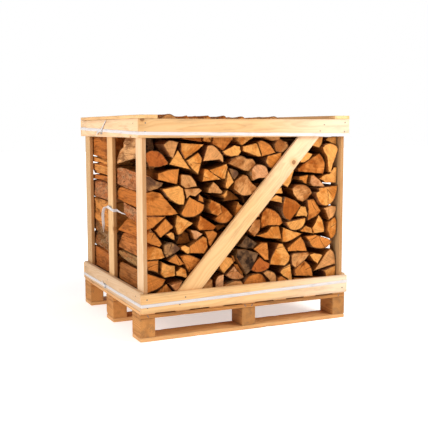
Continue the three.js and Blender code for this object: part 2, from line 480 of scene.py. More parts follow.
@dataclass(frozen=True)
class SplitFaceFinish:
    """A log's split face: torn fibres that run along it, darker streaks and stains."""

    name: str = "firewood_split_face"
    stain: Colour = paint("5b2f12")
    rust: Colour = paint("b8692c")
    roughness: float = 0.82

    def material(self) -> Material:
        """Builds the material.

        Returns:
            The material.
        """
        pad = ShaderPad(self.name)
        grain = pad.carried("grain")
        tone = pad.carried("side", "Color")
        luck, mottle, _ = pad.split(pad.carried("luck"))
        place = pad.moved(grain, luck)
        bent = pad.swayed(place, pad.noise(pad.stretch(place, 20.0, 9.0), 1.0, 2.0, colour=True), 0.02)
        fibre = pad.noise(pad.stretch(bent, 420.0, 9.0), 1.0, 3.0, 0.6)
        ridge = pad.noise(pad.stretch(bent, 75.0, 5.0), 1.0, 3.0, 0.55)
        patch = pad.noise(pad.stretch(bent, 26.0, 7.0), 1.0, 4.0, 0.6)
        streak = pad.noise(pad.stretch(bent, 150.0, 6.0), 1.0, 4.0, 0.7)
        warm = pad.noise(pad.stretch(place, 14.0, 5.0), 1.0, 2.0, 0.5)
        light = pad.total(0.42, (fibre, 0.5), (ridge, 0.75))
        colour = pad.mix(pad.times(pad.span(warm, 0.5, 0.7), 0.5), tone, self.rust)
        colour = pad.shade(colour, light)
        colour = pad.mix(pad.times(pad.span(streak, 0.53, 0.64), 0.75), colour, self.stain)
        spread = pad.span(pad.math("ADD", patch, pad.times(mottle, 0.12)), 0.52, 0.72)
        colour = pad.mix(pad.times(spread, 0.7), colour, self.stain)
        height = pad.total(0.0, (fibre, 1.1 * MM), (ridge, 6.0 * MM), (streak, -2.0 * MM))
        pad.bump(height, 0.9)
        return pad.done(colour, self.roughness, 0.06)


@dataclass(frozen=True)
class BarkFinish:
    """Bark: rusty, with pinkish grey patches, dark flecks and shallow long plates."""

    name: str = "firewood_bark"
    furrow: Colour = paint("38200f")
    rust: Colour = paint("ac5c2a")
    weathered: Colour = paint("a58563")
    roughness: float = 0.9

    def material(self) -> Material:
        """Builds the material.

        Returns:
            The material.
        """
        pad = ShaderPad(self.name)
        grain = pad.carried("grain")
        tone = pad.carried("side", "Color")
        luck, mottle, _ = pad.split(pad.carried("luck"))
        place = pad.moved(grain, luck)
        bent = pad.swayed(place, pad.noise(place, 40.0, 3.0, colour=True), 0.03)
        plates = pad.cells(pad.stretch(bent, 34.0, 8.0), "DISTANCE_TO_EDGE").outputs["Distance"]
        top = pad.span(plates, 0.0, 0.12)
        rough = pad.noise(pad.stretch(bent, 150.0, 45.0), 1.0, 4.0, 0.65)
        fleck = pad.noise(pad.stretch(bent, 120.0, 30.0), 1.0, 3.0, 0.7)
        patch = pad.noise(pad.stretch(place, 24.0, 9.0), 1.0, 3.0, 0.55)
        other = pad.noise(pad.stretch(bent, 30.0, 10.0), 1.0, 3.0, 0.6)
        colour = pad.mix(pad.times(pad.span(other, 0.48, 0.6), 0.6), tone, self.rust)
        grey = pad.span(pad.math("ADD", patch, pad.times(mottle, 0.06)), 0.52, 0.64)
        colour = pad.mix(pad.times(grey, 0.45), colour, self.weathered)
        colour = pad.shade(colour, pad.total(0.34, (rough, 1.2)))
        colour = pad.mix(pad.times(pad.math("SUBTRACT", 1.0, top), 0.4), colour, self.furrow)
        colour = pad.mix(pad.times(pad.span(fleck, 0.54, 0.64), 0.75), colour, self.furrow)
        height = pad.total(0.0, (top, 1.4 * MM), (rough, 2.4 * MM), (fleck, -1.6 * MM))
        pad.bump(height, 0.8)
        return pad.done(colour, self.roughness, 0.06)


@dataclass(frozen=True)
class SawnBoardFinish:
    """Sawn pine: growth lines that follow the board's pith, knots, saw marks, handling dirt, painted light
    towards the right and painted shade on the posts' narrow faces.
    """

    name: str
    early: Colour
    late: Colour
    grime: Colour = paint("7a5a3c")
    knot: Colour = paint("8a5428")
    narrow_face_shade: Colour = paint("ac7238")
    painted_light: Colour = paint("f9ead6")
    ring: float = 7.0 * MM
    contrast: float = 0.5
    dirt: float = 0.25
    knots: float = 0.22
    roughness: float = 0.62

    def material(self) -> Material:
        """Builds the material.

        Returns:
            The material.
        """
        pad = ShaderPad(self.name)
        grain = pad.carried("grain")
        edge = pad.carried("edge", "Fac")
        spot = pad.carried("knot_place")
        luck, wear, tone_and_painted_light = pad.split(pad.carried("luck"))
        place = pad.moved(grain, luck)
        # Knots: sparse cells on the board's face, and one place that the board itself may name.
        board_place = pad.carried("board")
        across, _, along = pad.split(board_place)
        flat = pad.join(pad.times(across, 8.5), pad.times(luck, 40.0), pad.times(along, 5.0))
        cell = pad.cells(flat)
        chosen = pad.span(pad.split(cell.outputs["Color"])[0], self.knots - 0.01, self.knots + 0.01, 1.0, 0.0)
        near = pad.math("ADD", cell.outputs["Distance"], pad.times(pad.math("SUBTRACT", 1.0, chosen), 2.0))
        named = pad.math("DIVIDE", pad.vector("LENGTH", spot), 0.17)
        near = pad.math("MINIMUM", near, named)
        swirl = pad.span(near, 0.05, 0.42, 1.0, 0.0)
        heart = pad.span(pad.math("ADD", near, pad.times(pad.noise(place, 160.0), 0.03)), 0.07, 0.1, 1.0, 0.0)
        halo = pad.span(near, 0.08, 0.2, 1.0, 0.0)
        bent = pad.swayed(grain, pad.noise(pad.stretch(place, 18.0, 3.0), 1.0, 2.0, colour=True), 0.02)
        x, y, _ = pad.split(bent)
        radius = pad.vector("LENGTH", pad.join(x, y, 0.0))
        radius = pad.total(radius, (swirl, 9.0 * MM))
        saw = pad.math("FRACT", pad.math("DIVIDE", radius, self.ring))
        late = pad.times(pad.span(saw, 0.25, 0.92), pad.span(saw, 0.93, 1.0, 1.0, 0.0))
        broad = pad.noise(pad.stretch(place, 16.0, 1.6), 1.0, 3.0, 0.55)
        fibre = pad.noise(pad.stretch(place, 900.0, 14.0), 1.0, 2.0, 0.6)
        colour = pad.mix(pad.times(late, self.contrast), self.early, self.late)
        colour = pad.mix(pad.times(pad.span(broad, 0.4, 0.75), 0.5), colour, self.late)
        # Painted light: the front boards grow paler towards the right, where the light on them is stronger.
        pale = pad.carried("pale", "Fac")
        colour = pad.mix(pad.times(pale, 0.5), colour, self.painted_light)
        colour = pad.mix(pad.times(halo, 0.55), colour, self.late)
        colour = pad.mix(pad.times(heart, 0.8), colour, self.knot)
        # Brightness from the board's own tone and from painted light and shade, with fine fibres.
        light = pad.total(0.9, (fibre, 0.16), (pad.math("SUBTRACT", tone_and_painted_light, 0.5), 0.3))
        colour = pad.shade(colour, light)
        smear = pad.noise(pad.stretch(place, 30.0, 5.0), 1.0, 5.0, 0.65)
        soil = pad.times(pad.span(pad.total(smear, (wear, 0.12)), 0.56, 0.76), self.dirt)
        colour = pad.mix(soil, colour, self.grime)
        # Grime on rubbed edges; on the posts' narrow faces, marked 2, it is stronger and is painted shade
        # there too.
        rub = pad.times(edge, pad.total(0.1, (smear, 0.7)))
        colour = pad.mix(pad.times(rub, 0.35), colour, self.grime)
        # Painted shade on the posts' front and back narrow faces.
        narrow_face_shade = pad.times(pad.span(edge, 1.0, 2.0), pad.total(0.2, (smear, 0.8)))
        colour = pad.mix(narrow_face_shade, colour, self.narrow_face_shade)
        height = pad.total(0.0, (fibre, 0.35 * MM), (late, 0.12 * MM), (heart, 0.5 * MM))
        pad.bump(height, 0.7)
        return pad.done(colour, pad.total(self.roughness - 0.1, (smear, 0.2)), 0.3)


@dataclass(frozen=True)
class TapeFinish:
    """Woven polyester tape: fine ribs along it and a short weave across."""

    name: str = "strap_tape"
    thread: Colour = paint("dfd7d5")
    shadow: Colour = paint("b0a6a4")
    roughness: float = 0.5

    def material(self) -> Material:
        """Builds the material.

        Returns:
            The material.
        """
        pad = ShaderPad(self.name)
        across, along, _ = pad.split(pad.carried("weave"))
        ribs = pad.math("SINE", pad.times(across, 2 * math.pi / (1.6 * MM)))
        picks = pad.math("SINE", pad.times(along, 2 * math.pi / (2.2 * MM)))
        weave = pad.times(ribs, picks)
        rub = pad.noise(pad.join(pad.times(across, 90.0), pad.times(along, 16.0), 0.0), 1.0, 3.0)
        share = pad.total(pad.span(rub, 0.45, 0.8, 0.12, 0.55), (ribs, 0.22))
        colour = pad.mix(share, self.thread, self.shadow)
        pad.bump(pad.total(pad.times(ribs, 0.12 * MM), (weave, 0.06 * MM)), 0.8)
        pad.shader.inputs["Sheen Weight"].default_value = 0.15
        return pad.done(colour, pad.total(self.roughness - 0.07, (rub, 0.15)), 0.4)


@dataclass(frozen=True)
class SteelFinish:
    """Galvanised wire or a nail's head: dull grey with drawn streaks."""

    name: str
    clean: Colour
    dull: Colour
    roughness: float = 0.4

    def material(self) -> Material:
        """Builds the material.

        Returns:
            The material.
        """
        pad = ShaderPad(self.name)
        place = pad.nodes.new("ShaderNodeTexCoord").outputs["Object"]
        stain = pad.noise(place, 260.0, 3.0, 0.6)
        fine = pad.noise(place, 1400.0, 2.0, 0.6)
        colour = pad.mix(pad.span(stain, 0.4, 0.68), self.clean, self.dull)
        pad.bump(pad.times(fine, 0.08 * MM), 0.6)
        pad.shader.inputs["Metallic"].default_value = 0.85
        return pad.done(colour, pad.total(self.roughness - 0.15, (stain, 0.3)), 0.5)


@dataclass(frozen=True)
class StudioFloorFinish:
    """The plain pale floor."""

    name: str = "studio_floor"
    pale: Colour = paint("f6f5f4")
    glow: float = 0.5

    def material(self) -> Material:
        """Builds the material.

        Returns:
            The material.
        """
        pad = ShaderPad(self.name)
        place = pad.nodes.new("ShaderNodeTexCoord").outputs["Object"]
        tiny = pad.noise(place, 3.0, 2.0)
        colour = pad.mix(pad.times(tiny, 0.05), self.pale, (0.8, 0.8, 0.8))
        # Away from the crate the floor glows like the white sky, so that no horizon shows.
        glow = pad.span(pad.vector("LENGTH", place), 1.0, 2.6, self.glow, 1.0)
        pad.feed(pad.shader.inputs["Emission Color"], pad.mix(glow, (0.0, 0.0, 0.0), (1.0, 1.0, 1.0)))
        pad.shader.inputs["Emission Strength"].default_value = 1.0
        return pad.done(colour, 0.9, 0.1)


# ---- Meshes ----


@dataclass
class MeshDraft:
    """Points, faces and carried values that become one mesh."""

    points: list[Array] = field(default_factory=list)
    quads: list[Array] = field(default_factory=list)
    triangles: list[Array] = field(default_factory=list)
    quad_kinds: list[Array] = field(default_factory=list)
    triangle_kinds: list[Array] = field(default_factory=list)
    carried: dict[str, list[Array]] = field(default_factory=dict)
    count: int = 0

    def add(self, points: Array, quads: Array, triangles: Array, quad_kinds: Any = 0,
            triangle_kind: int = 0, **carried: Array) -> None:
        """Adds one closed shell.

        Args:
            points: (n, 3) places.
            quads: (m, 4) point numbers within this shell.
            triangles: (k, 3) point numbers within this shell.
            quad_kinds: the quads' material numbers, or one for all.
            triangle_kind: the triangles' material number.
            carried: the values each point carries, by name.
        """
        self.points.append(points)
        self.quads.append(np.asarray(quads, int).reshape(-1, 4) + self.count)
        self.triangles.append(np.asarray(triangles, int).reshape(-1, 3) + self.count)
        self.quad_kinds.append(np.broadcast_to(quad_kinds, len(quads)))
        self.triangle_kinds.append(np.full(len(triangles), triangle_kind))
        for name, values in carried.items():
            self.carried.setdefault(name, []).append(np.asarray(values, float))
        self.count += len(points)

    def object(self, name: str, materials: Sequence[Material],
               crease: float = 35.0) -> Piece:
        """Makes the mesh object.

        Args:
            name: the piece's name.
            materials: its materials, in the order of the kinds.
            crease: edges that turn more than this, in degrees, stay sharp.

        Returns:
            The object, linked to the scene.
        """
        faces = np.concatenate(self.quads).tolist() + np.concatenate(self.triangles).tolist()
        kinds = np.concatenate(self.quad_kinds + self.triangle_kinds)
        mesh = bpy.data.meshes.new(name)
        mesh.from_pydata(np.concatenate(self.points).tolist(), [], faces)
        mesh.polygons.foreach_set("material_index", kinds.astype(np.int32))
        for key, parts in self.carried.items():
            values = np.concatenate(parts)
            form, slot = ("FLOAT", "value") if values.ndim == 1 else ("FLOAT_VECTOR", "vector")
            carrier = mesh.attributes.new(key, form, "POINT")
            carrier.data.foreach_set(slot, values.astype(np.float32).ravel())
        for material in materials:
            mesh.materials.append(material)
        mesh.validate()
        mesh.shade_smooth()
        mesh.set_sharp_from_angle(angle=math.radians(crease))
        piece = bpy.data.objects.new(name, mesh)
        bpy.context.scene.collection.objects.link(piece)
        return piece


def loft(rings: Array) -> tuple[Array, Array]:
    """Joins rings of points one to the next.

    Args:
        rings: (stations, n, 3) points; each ring runs round the shell.

    Returns:
        The points as one list, and the quads of the wall. Edge i of a ring gives quad i of its row.
    """
    stations, n, _ = rings.shape
    j, i = np.meshgrid(np.arange(stations - 1), np.arange(n), indexing="ij")
    a, b = j * n + i, j * n + (i + 1) % n
    quads = np.stack([a, a + n, b + n, b], -1).reshape(-1, 4)
    return rings.reshape(-1, 3), quads


def closed_shell(rings: Array, ends: Sequence[Sequence[Array]]) -> tuple[Array, Array, Array]:
    """Joins rings into a wall and closes both ends with rings that shrink to a point.

    Args:
        rings: (stations, n, 3) points.
        ends: for the first and the last ring, its inner rings and then its centre point.

    Returns:
        The points and the quads, each with the wall's first, and the triangles.
    """
    stations, n, _ = rings.shape
    wall, quads = loft(rings)
    points, quads, triangles = [wall], [quads], []
    here = np.arange(n)
    after = (here + 1) % n
    start = len(wall)
    for first, turn, inner in zip((0, (stations - 1) * n), (1, -1), ends):
        for _ in inner[:-1]:
            quads.append(np.stack([first + here, first + after, start + after, start + here], -1)[:, ::turn])
            first, start = start, start + n
        triangles.append(np.stack([first + here, first + after, np.full(n, start)], -1)[:, ::turn])
        points += inner
        start += 1
    return np.concatenate(points), np.concatenate(quads), np.concatenate(triangles)


def unit(vectors: Array) -> Array:
    """Scales rows of vectors to a length of one."""
    return vectors / np.linalg.norm(vectors, axis=1)[:, None]


def walk(line: Array) -> Array:
    """How far along a line each of its points lies."""
    return np.concatenate([[0], np.cumsum(np.linalg.norm(np.diff(line, axis=0), axis=1))])


def sweep(line: Array, faces: Array, section: Array, closed: bool) -> tuple[Array, Array, Array]:
    """Sweeps a section along a line.

    Args:
        line: (n, 3) points.
        faces: (n, 3) directions that the section's second coordinate takes.
        section: (m, 2) or (n, m, 2) places across the line and outwards.
        closed: whether the line's end meets its start.

    Returns:
        The points, the quads and the triangles.
    """
    ahead = np.roll(line, -1, 0) - np.roll(line, 1, 0)
    if not closed:
        ahead[0], ahead[-1] = line[1] - line[0], line[-1] - line[-2]
    ahead = unit(ahead)
    out = unit(faces - (faces * ahead).sum(1)[:, None] * ahead)
    side = np.cross(ahead, out)
    points, quads = loft(line[:, None] + side[:, None] * section[..., :1] + out[:, None] * section[..., 1:])
    m = section.shape[-2]
    last = len(points) - m
    if closed:
        here = np.arange(m)
        after = (here + 1) % m
        wrap = np.stack([last + here, here, after, last + after], -1)
        return points, np.concatenate([quads, wrap]), np.zeros((0, 3), int)
    fan = np.stack([np.zeros(m - 2, int), np.arange(1, m - 1), np.arange(2, m)], -1)
    return points, quads, np.concatenate([fan, last + fan[:, ::-1]])


class Ripple:
    """A seeded smooth wobble of one or two lengths, about from -1 to 1."""

    def __init__(self, rng: np.random.Generator, first: float, second: float, layers: int = 4) -> None:
        """Draws the waves.

        Args:
            rng: the seeded source.
            first: the wave length along the first coordinate.
            second: the wave length along the second one.
            layers: how many waves are laid over each other.
        """
        grow = 1.7 ** np.arange(layers)
        self.a = rng.uniform(-1, 1, layers) * grow * 2 * math.pi / first
        self.a += np.sign(self.a) * math.pi / first
        self.b = rng.uniform(-1, 1, layers) * grow * 2 * math.pi / second
        self.phase = rng.uniform(0, 2 * math.pi, layers)
        self.size = 1 / grow ** 0.8
        self.size /= self.size.sum() ** 0.8

    def at(self, s: Array, t: Array = 0.0) -> Array:
        """The wobble at places s and t."""
        return sum(k * np.sin(a * s + b * t + p) for k, a, b, p in zip(self.size, self.a, self.b, self.phase))


def settle(piece: Piece, slot: str, *nodes: str) -> Piece:
    """Puts a piece on the frame in place of its CAD nodes, and reports it.

    Args:
        piece: the finished piece.
        slot: not used.
        nodes: the CAD nodes it stands for.

    Returns:
        The piece.
    """
    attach(piece, "root")
    if nodes:
        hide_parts(*nodes)
    log.info("%s: %d faces, for %s", piece.name, len(piece.data.polygons), ", ".join(nodes) or "no node")
    return piece


# ---- Sawn boards ----


@dataclass
class SawnBoard:
    """One board or block of timber over its CAD node, with eased edges, warp and nicks."""

    node: str
    finish: Material
    slot: str
    seed: int
    ease: float = 1.6 * MM
    warp: float = 0.5 * MM
    nick: float = 1.2 * MM
    step: float = 28 * MM
    pith: float = 55 * MM
    knot_at: Optional[tuple[float, float, float]] = None
    tone_and_painted_light: float = 0.5
    along: Optional[int] = None
    narrow_face_shade: bool = False
    painted_light: bool = False

    def corners(self) -> tuple[Array, int, int, int]:
        """Finds the node's eight corners.

        Returns:
            Corners as [end][across][thick], and the axes along, across and through the board.
        """
        points = np.array([v.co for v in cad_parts[self.node].data.vertices])
        size = np.ptp(points, axis=0)
        order = np.argsort(-size)
        along = int(order[0]) if self.along is None else self.along
        if self.node.startswith("brace"):
            along = 2
        across, thick = [int(k) for k in order if k != along]
        low, high = points.min(0), points.max(0)
        found = np.zeros((2, 2, 2, 3))
        for end, limit in enumerate((low[along], high[along])):
            here = points[np.abs(points[:, along] - limit) < 1e-4]
            for w, pick in enumerate((here[:, across].min(), here[:, across].max())):
                for t, face in enumerate((low[thick], high[thick])):
                    found[end, w, t, along] = limit
                    found[end, w, t, across] = pick
                    found[end, w, t, thick] = face
        return found, along, across, thick

    def section(self, wide: float, deep: float) -> tuple[Array, Array]:
        """The board's outline as shares of its width and thickness.

        Args:
            wide: its width.
            deep: its thickness.

        Returns:
            (n, 2) shares, and how much each point lies on an eased edge.
        """
        e, f = self.ease / wide, self.ease / deep
        bend = 1 - math.sqrt(0.5)
        across = np.linspace(e, 1 - e, 7)
        through = np.linspace(f, 1 - f, 4)
        faces = [(across, np.zeros(7)), ([1 - e * bend], [f * bend]), (np.ones(4), through),
                 ([1 - e * bend], [1 - f * bend]), (across[::-1], np.ones(7)), ([e * bend], [1 - f * bend]),
                 (np.zeros(4), through[::-1]), ([e * bend], [f * bend])]
        edge = [float(k in (0, len(us) - 1)) for us, _ in faces for k in range(len(us))]
        return np.concatenate([np.column_stack(face) for face in faces]), np.array(edge)

    def build(self) -> Piece:
        """Builds the board and puts it in place of its node.

        Returns:
            The piece.
        """
        rng = np.random.default_rng(self.seed)
        box, along, across, thick = self.corners()
        wide = abs(box[0, 1, 0, across] - box[0, 0, 0, across])
        deep = abs(box[0, 0, 1, thick] - box[0, 0, 0, thick])
        length = abs(box[1, 0, 0, along] - box[0, 0, 0, along])
        shares, edge = self.section(wide, deep)
        # Going round across-then-thick is right-handed or left-handed with the axes.
        if np.linalg.det(np.eye(3)[[across, thick, along]]) > 0:
            shares, edge = shares[::-1], edge[::-1]
        n = len(shares)
        inner = np.linspace(0, 1, max(3, int(length / self.step)) + 1)
        lip = self.ease / length
        stations = np.concatenate([[0.0], [lip], inner[1:-1], [1 - lip], [1.0]])
        u, v = shares[:, 0], shares[:, 1]
        rings = np.zeros((len(stations), n, 3))
        for k, s in enumerate(stations):
            ends = box[0] * (1 - s) + box[1] * s
            low = ends[0, 0] * (1 - u)[:, None] + ends[1, 0] * u[:, None]
            high = ends[0, 1] * (1 - u)[:, None] + ends[1, 1] * u[:, None]
            rings[k] = low * (1 - v)[:, None] + high * v[:, None]
        # Warp and nicks only take wood away, so the board keeps inside its node.
        s = stations[:, None] * length
        around = (u * wide + v * deep)[None, :]
        cup = Ripple(rng, 0.5, 0.2)
        chip = Ripple(rng, 0.055, 0.04)
        inward = np.stack([0.5 - u, 0.5 - v], -1)[None]
        wear = self.warp * (0.5 + 0.5 * cup.at(s, around))
        bite = np.clip(chip.at(s, around) - 0.55, 0, 1) * self.nick * edge[None] * 2
        shrink = wear + bite
        for axis, which in ((across, 0), (thick, 1)):
            on_face = np.where(np.abs(inward[..., which]) > 0.5 - 2 * self.ease / (wide, deep)[which], 1.0,
                               0.0)
            rings[..., axis] += np.sign(inward[..., which]) * on_face * shrink
        ends = []
        for ring in (rings[0], rings[-1]):
            middle = ring.mean(0)
            for axis in (across, thick):
                ring[:, axis] += np.sign(middle[axis] - ring[:, axis]) * self.ease * 0.7
            middle = ring.mean(0)
            ends.append([middle + (ring - middle) * 0.66, middle + (ring - middle) * 0.3, middle[None]])
        points, quads, triangles = closed_shell(rings, ends)
        wall = len(stations) * n
        # Posts: their front and back narrow faces are marked for painted shade.
        if self.narrow_face_shade:
            edge = np.where((u < 0.01) | (u > 0.99), 2.0, edge)
        edges = np.concatenate([np.tile(edge, len(stations)), np.zeros(len(points) - wall)])
        edges[:n] = 1.0
        edges[wall - n : wall] = 1.0
        centre = box.reshape(-1, 3).mean(0)
        local = points - centre
        if self.node.startswith("brace"):
            lean = (box[1, 0, 0] - box[0, 0, 0])[[0, 2]]
            lean /= np.linalg.norm(lean)
            b_along = local[:, 0] * lean[0] + local[:, 2] * lean[1]
            b_across = local[:, 0] * lean[1] - local[:, 2] * lean[0]
            board = np.stack([b_across, local[:, 1], b_along], -1)
        else:
            board = np.stack([local[:, across], local[:, thick], local[:, along]], -1)
        tilt = rng.uniform(-0.035, 0.035, 2)
        heart = np.array([rng.uniform(-0.35, 0.35) * wide, self.pith * rng.choice([-1,
                                                                                   1]) * rng.uniform(0.5,
                                                                                                     1.3)])
        grain = board.copy()
        grain[:, 0] += heart[0] + tilt[0] * board[:, 2]
        grain[:, 1] += heart[1] + tilt[1] * board[:, 2]
        if self.knot_at is None:
            spot = np.full_like(board, 5.0)
        else:
            spot = points - np.array(self.knot_at)
            spot[:, thick] *= 0.5
        # The third value is the board's brightness, its own tone and painted light and shade, with a random
        # part.
        luck = np.tile([rng.uniform(), rng.uniform(), self.tone_and_painted_light + rng.uniform(-0.16, 0.16)], (len(points), 1))
        # Painted light: paler towards the right, on the boards that take it.
        pale = np.clip((points[:, 0] - 0.02) / 0.5, 0, 1) * self.painted_light
        draft = MeshDraft()
        draft.add(points, quads, triangles, grain=grain, board=board, edge=edges, knot_place=spot, luck=luck,
                  pale=pale)
        return settle(draft.object(f"look_{self.node}", [self.finish]), self.slot, self.node)


@dataclass
class Nails:
    """Nail heads, slightly domed and sunk, gathered in one piece."""

    finish: Material
    radius: float = 3.6 * MM
    proud: float = 0.3 * MM
    draft: MeshDraft = field(default_factory=MeshDraft)

    def drive(self, place: Sequence[float], outward: Sequence[float]) -> None:
        """Adds one nail head.

        Args:
            place: the point on the board's face.
            outward: the direction the face looks.
        """
        out = Vector(outward).normalized()
        side = out.orthogonal().normalized()
        other = out.cross(side)
        turns = np.linspace(0, 2 * math.pi, 13)[:-1]
        rings = []
        for share, lift in ((1.0, -0.8 * MM), (1.0, 0.1 * MM), (0.8, self.proud), (0.35, self.proud * 1.4)):
            rings.append([Vector(place) + out * lift + (side * math.cos(a) + other * math.sin(a)) * share
                          * self.radius for a in turns])
        low, high = (np.array([Vector(place) + out * lift]) for lift in (-0.8 * MM, self.proud * 1.5))
        self.draft.add(*closed_shell(np.array(rings), [[low], [high]]))

    def build(self) -> Piece:
        """Makes the piece.

        Returns:
            The piece.
        """
        return settle(self.draft.object("nail_heads", [self.finish]), "buckle_wire")


# ---- Straps and buckles ----


def smooth_line(points: Array, step: float) -> Array:
    """Runs a smooth curve through points.

    Args:
        points: (n, 3) points it passes.
        step: how far apart the curve's own points are.

    Returns:
        The curve's points.
    """
    points = np.asarray(points, float)
    padded = np.concatenate([[2 * points[0] - points[1]], points, [2 * points[-1] - points[-2]]])
    found = []
    for a, b, c, d in zip(padded, padded[1:], padded[2:], padded[3:]):
        pieces = max(2, int(round(np.linalg.norm(c - b) / step)))
        for t in np.arange(pieces) / pieces:
            found.append(0.5 * (2 * b + (c - a) * t + (2 * a - 5 * b + 4 * c - d) * t * t
                                + (3 * b - a - 3 * c + d) * t ** 3))
    found.append(points[-1])
    return np.array(found)


@dataclass
class Straps:
    """The three straps, their wire buckles and their loose ends."""

    tape: Material
    wire: Material
    wide: float = 16 * MM
    lift: float = 0.85 * MM
    wire_radius: float = 1.4 * MM
    tail_length: float = 0.1934

    # The middle strap's loose end, from its buckle down to its tip, and how its width turns.
    tail_route: tuple[tuple[float, float, float], ...] = (
        (-586, 31, 620), (-588.5, 40, 622.5), (-591, 50, 624), (-593, 60, 623.5),
        (-595, 70, 620.5), (-596.5, 79, 615), (-598, 87, 606.5), (-599, 93, 596),
        (-599.5, 97, 584), (-599.5, 99.5, 571), (-599.5, 100.5, 558), (-599, 100, 545),
        (-598.5, 98.5, 532), (-598, 96.5, 519), (-598, 94.5, 506), (-598, 93.5, 493),
        (-598, 94, 480),
    )
    tail_turns: tuple[tuple[float, tuple[float, float, float]], ...] = (
        (0, (0, 0, 1)), (0.22, (1, 0, 0)), (0.75, (1, 0, 0)), (1, (0.6, 0.8, 0)),
    )

    def lay(self, draft: MeshDraft, line: Array, faces: Array, closed: bool, widths: Any = 16 * MM,
            thick: float = 1 * MM) -> None:
        """Lays a run of tape along a line.

        Args:
            draft: the draft it's added to.
            line: (n, 3) points of its middle.
            faces: (n, 3) directions its outer face looks.
            closed: whether the end meets the start.
            widths: its width, or each point's.
            thick: its thickness.
        """
        across = np.array([-1, -0.97, -0.5, 0, 0.5, 0.97, 1, 1, 0.97, 0.5, 0, -0.5, -0.97, -1])
        level = np.array([-0.4, -1, -1, -1, -1, -1, -0.4, 0.4, 1, 1, 1, 1, 1, 0.4])
        n, m = len(line), len(across)
        half = np.broadcast_to(widths, n) / 2
        section = np.stack([across * half[:, None], np.tile(level * thick / 2, (n, 1))], -1)
        weave = np.stack([section[..., 0].ravel(), np.repeat(walk(line), m), np.tile(level, n)], -1)
        draft.add(*sweep(line, faces, section, closed), weave=weave)

    def tail(self) -> Piece:
        """The middle strap's loose end: a flat tape that hangs from its buckle.

        Returns:
            The piece.
        """
        line = smooth_line(np.array(self.tail_route) * MM, 5 * MM)
        walked = walk(line)
        share = walked / walked[-1]
        ahead = unit(np.gradient(line, axis=0))
        marks = [s for s, _ in self.tail_turns]
        across = np.stack([np.interp(share, marks, [d[k] for _, d in self.tail_turns]) for k in range(3)], -1)
        across = unit(across - (across * ahead).sum(1)[:, None] * ahead)
        widths = np.full(len(line), self.wide)
        widths[-3:] *= (0.97, 0.85, 0.6)
        draft = MeshDraft()
        self.lay(draft, line, np.cross(across, ahead), False, widths, 0.9 * MM)
        piece = settle(draft.object("middle_strap_tail", [self.tape], 60), "strap_tape", "strap_tail")
        self.tail_line = line
        self.tail_length = float(walked[-1])
        return piece

    def round_rails(self, height: float, rise_x: float, rise_y: float, seed: int) -> MeshDraft:
        """A strap drawn tight round the crate's rails.

        Args:
            height: its middle's height where X and Y are 0.
            rise_x: how it climbs along X.
            rise_y: how it climbs along Y.
            seed: the seed of its small waves.

        Returns:
            The draft.
        """
        rng = np.random.default_rng(seed)
        half = np.array([0.6 + self.lift, 0.52 + self.lift])
        r = 1.6 * MM
        line, faces = [], []
        turns = [(-1, -1), (1, -1), (1, 1), (-1, 1)]
        for here, there in zip(turns, turns[1:] + turns[:1]):
            a, b = np.array(here) * half, np.array(there) * half
            d = (b - a) / np.linalg.norm(b - a)
            out = np.array([d[1], -d[0]])
            for s in np.linspace(r, np.linalg.norm(b - a) - r, 46):
                line.append(a + d * s)
                faces.append((*out, 0))
            line.append(b - d * r * 0.3 - out * r * 0.3)
            faces.append((*(out + d) / math.sqrt(2), 0))
        line = np.array(line)
        z = height + rise_x * line[:, 0] + rise_y * line[:, 1] + 0.8 * MM * Ripple(rng, 0.3,
                                                                                   1.0).at(walk(line))
        draft = MeshDraft()
        self.lay(draft, np.column_stack([line, z]), np.array(faces, float), True)
        return draft

    def end(self, draft: MeshDraft, points: Sequence[Sequence[float]], faces: Sequence[Sequence[float]],
            wide: float = 16 * MM, taper: float = 1.0) -> None:
        """Adds a short loose end of tape.

        Args:
            draft: the draft it's added to.
            points: the points it passes, in millimetres.
            faces: the directions its outer face looks at those points.
            wide: its width.
            taper: its width at the tip, as a share.
        """
        line = smooth_line(np.array(points, float) * MM, 5 * MM)
        share = np.linspace(0, 1, len(line))
        marks = np.linspace(0, 1, len(points))
        face = np.stack([np.interp(share, marks, [f[k] for f in faces]) for k in range(3)], -1)
        self.lay(draft, line, face, False, wide * (1 + (taper - 1) * share))

    def buckle(self, node: str, seed: int) -> Piece:
        """A buckle bent from one wire: a flattened ring with a bar across its middle.

        Args:
            node: its CAD node.
            seed: the seed of its hand-bent shape.

        Returns:
            The piece.
        """
        rng = np.random.default_rng(seed)
        low, high = (np.array(v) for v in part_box(node))
        centre, size = (low + high) / 2, high - low
        r = self.wire_radius
        long, tall = size[1] / 2 - r, size[2] / 2 - r
        corner = 5 * MM
        outline = []
        for (cy, cz), start in (((1, 1), 0), ((-1, 1), 90), ((-1, -1), 180), ((1, -1), 270)):
            for a in np.radians(start + np.linspace(0, 90, 7)):
                outline.append((cy * (long - corner) + corner * math.cos(a),
                                cz * (tall - corner) + corner * math.sin(a)))
        ring = np.array(outline)
        bow = 0.25 * MM * np.sin(np.linspace(0, 4 * math.pi, len(ring)) + rng.uniform(0, 6))
        loop = np.column_stack([centre[0] + bow, centre[1] + ring[:, 0], centre[2] + ring[:, 1]])
        draft = MeshDraft()
        self.wire_run(draft, loop, True)
        z = np.linspace(-tall, tall, 9)
        bar = np.column_stack([centre[0] + 0.3 * MM * np.cos(z / tall * 1.5),
                               centre[1] + 0.4 * MM * np.sin(z / tall * 2), centre[2] + z])
        self.wire_run(draft, bar, False)
        return settle(draft.object(f"look_{node}", [self.wire], 50), "buckle_wire", node)

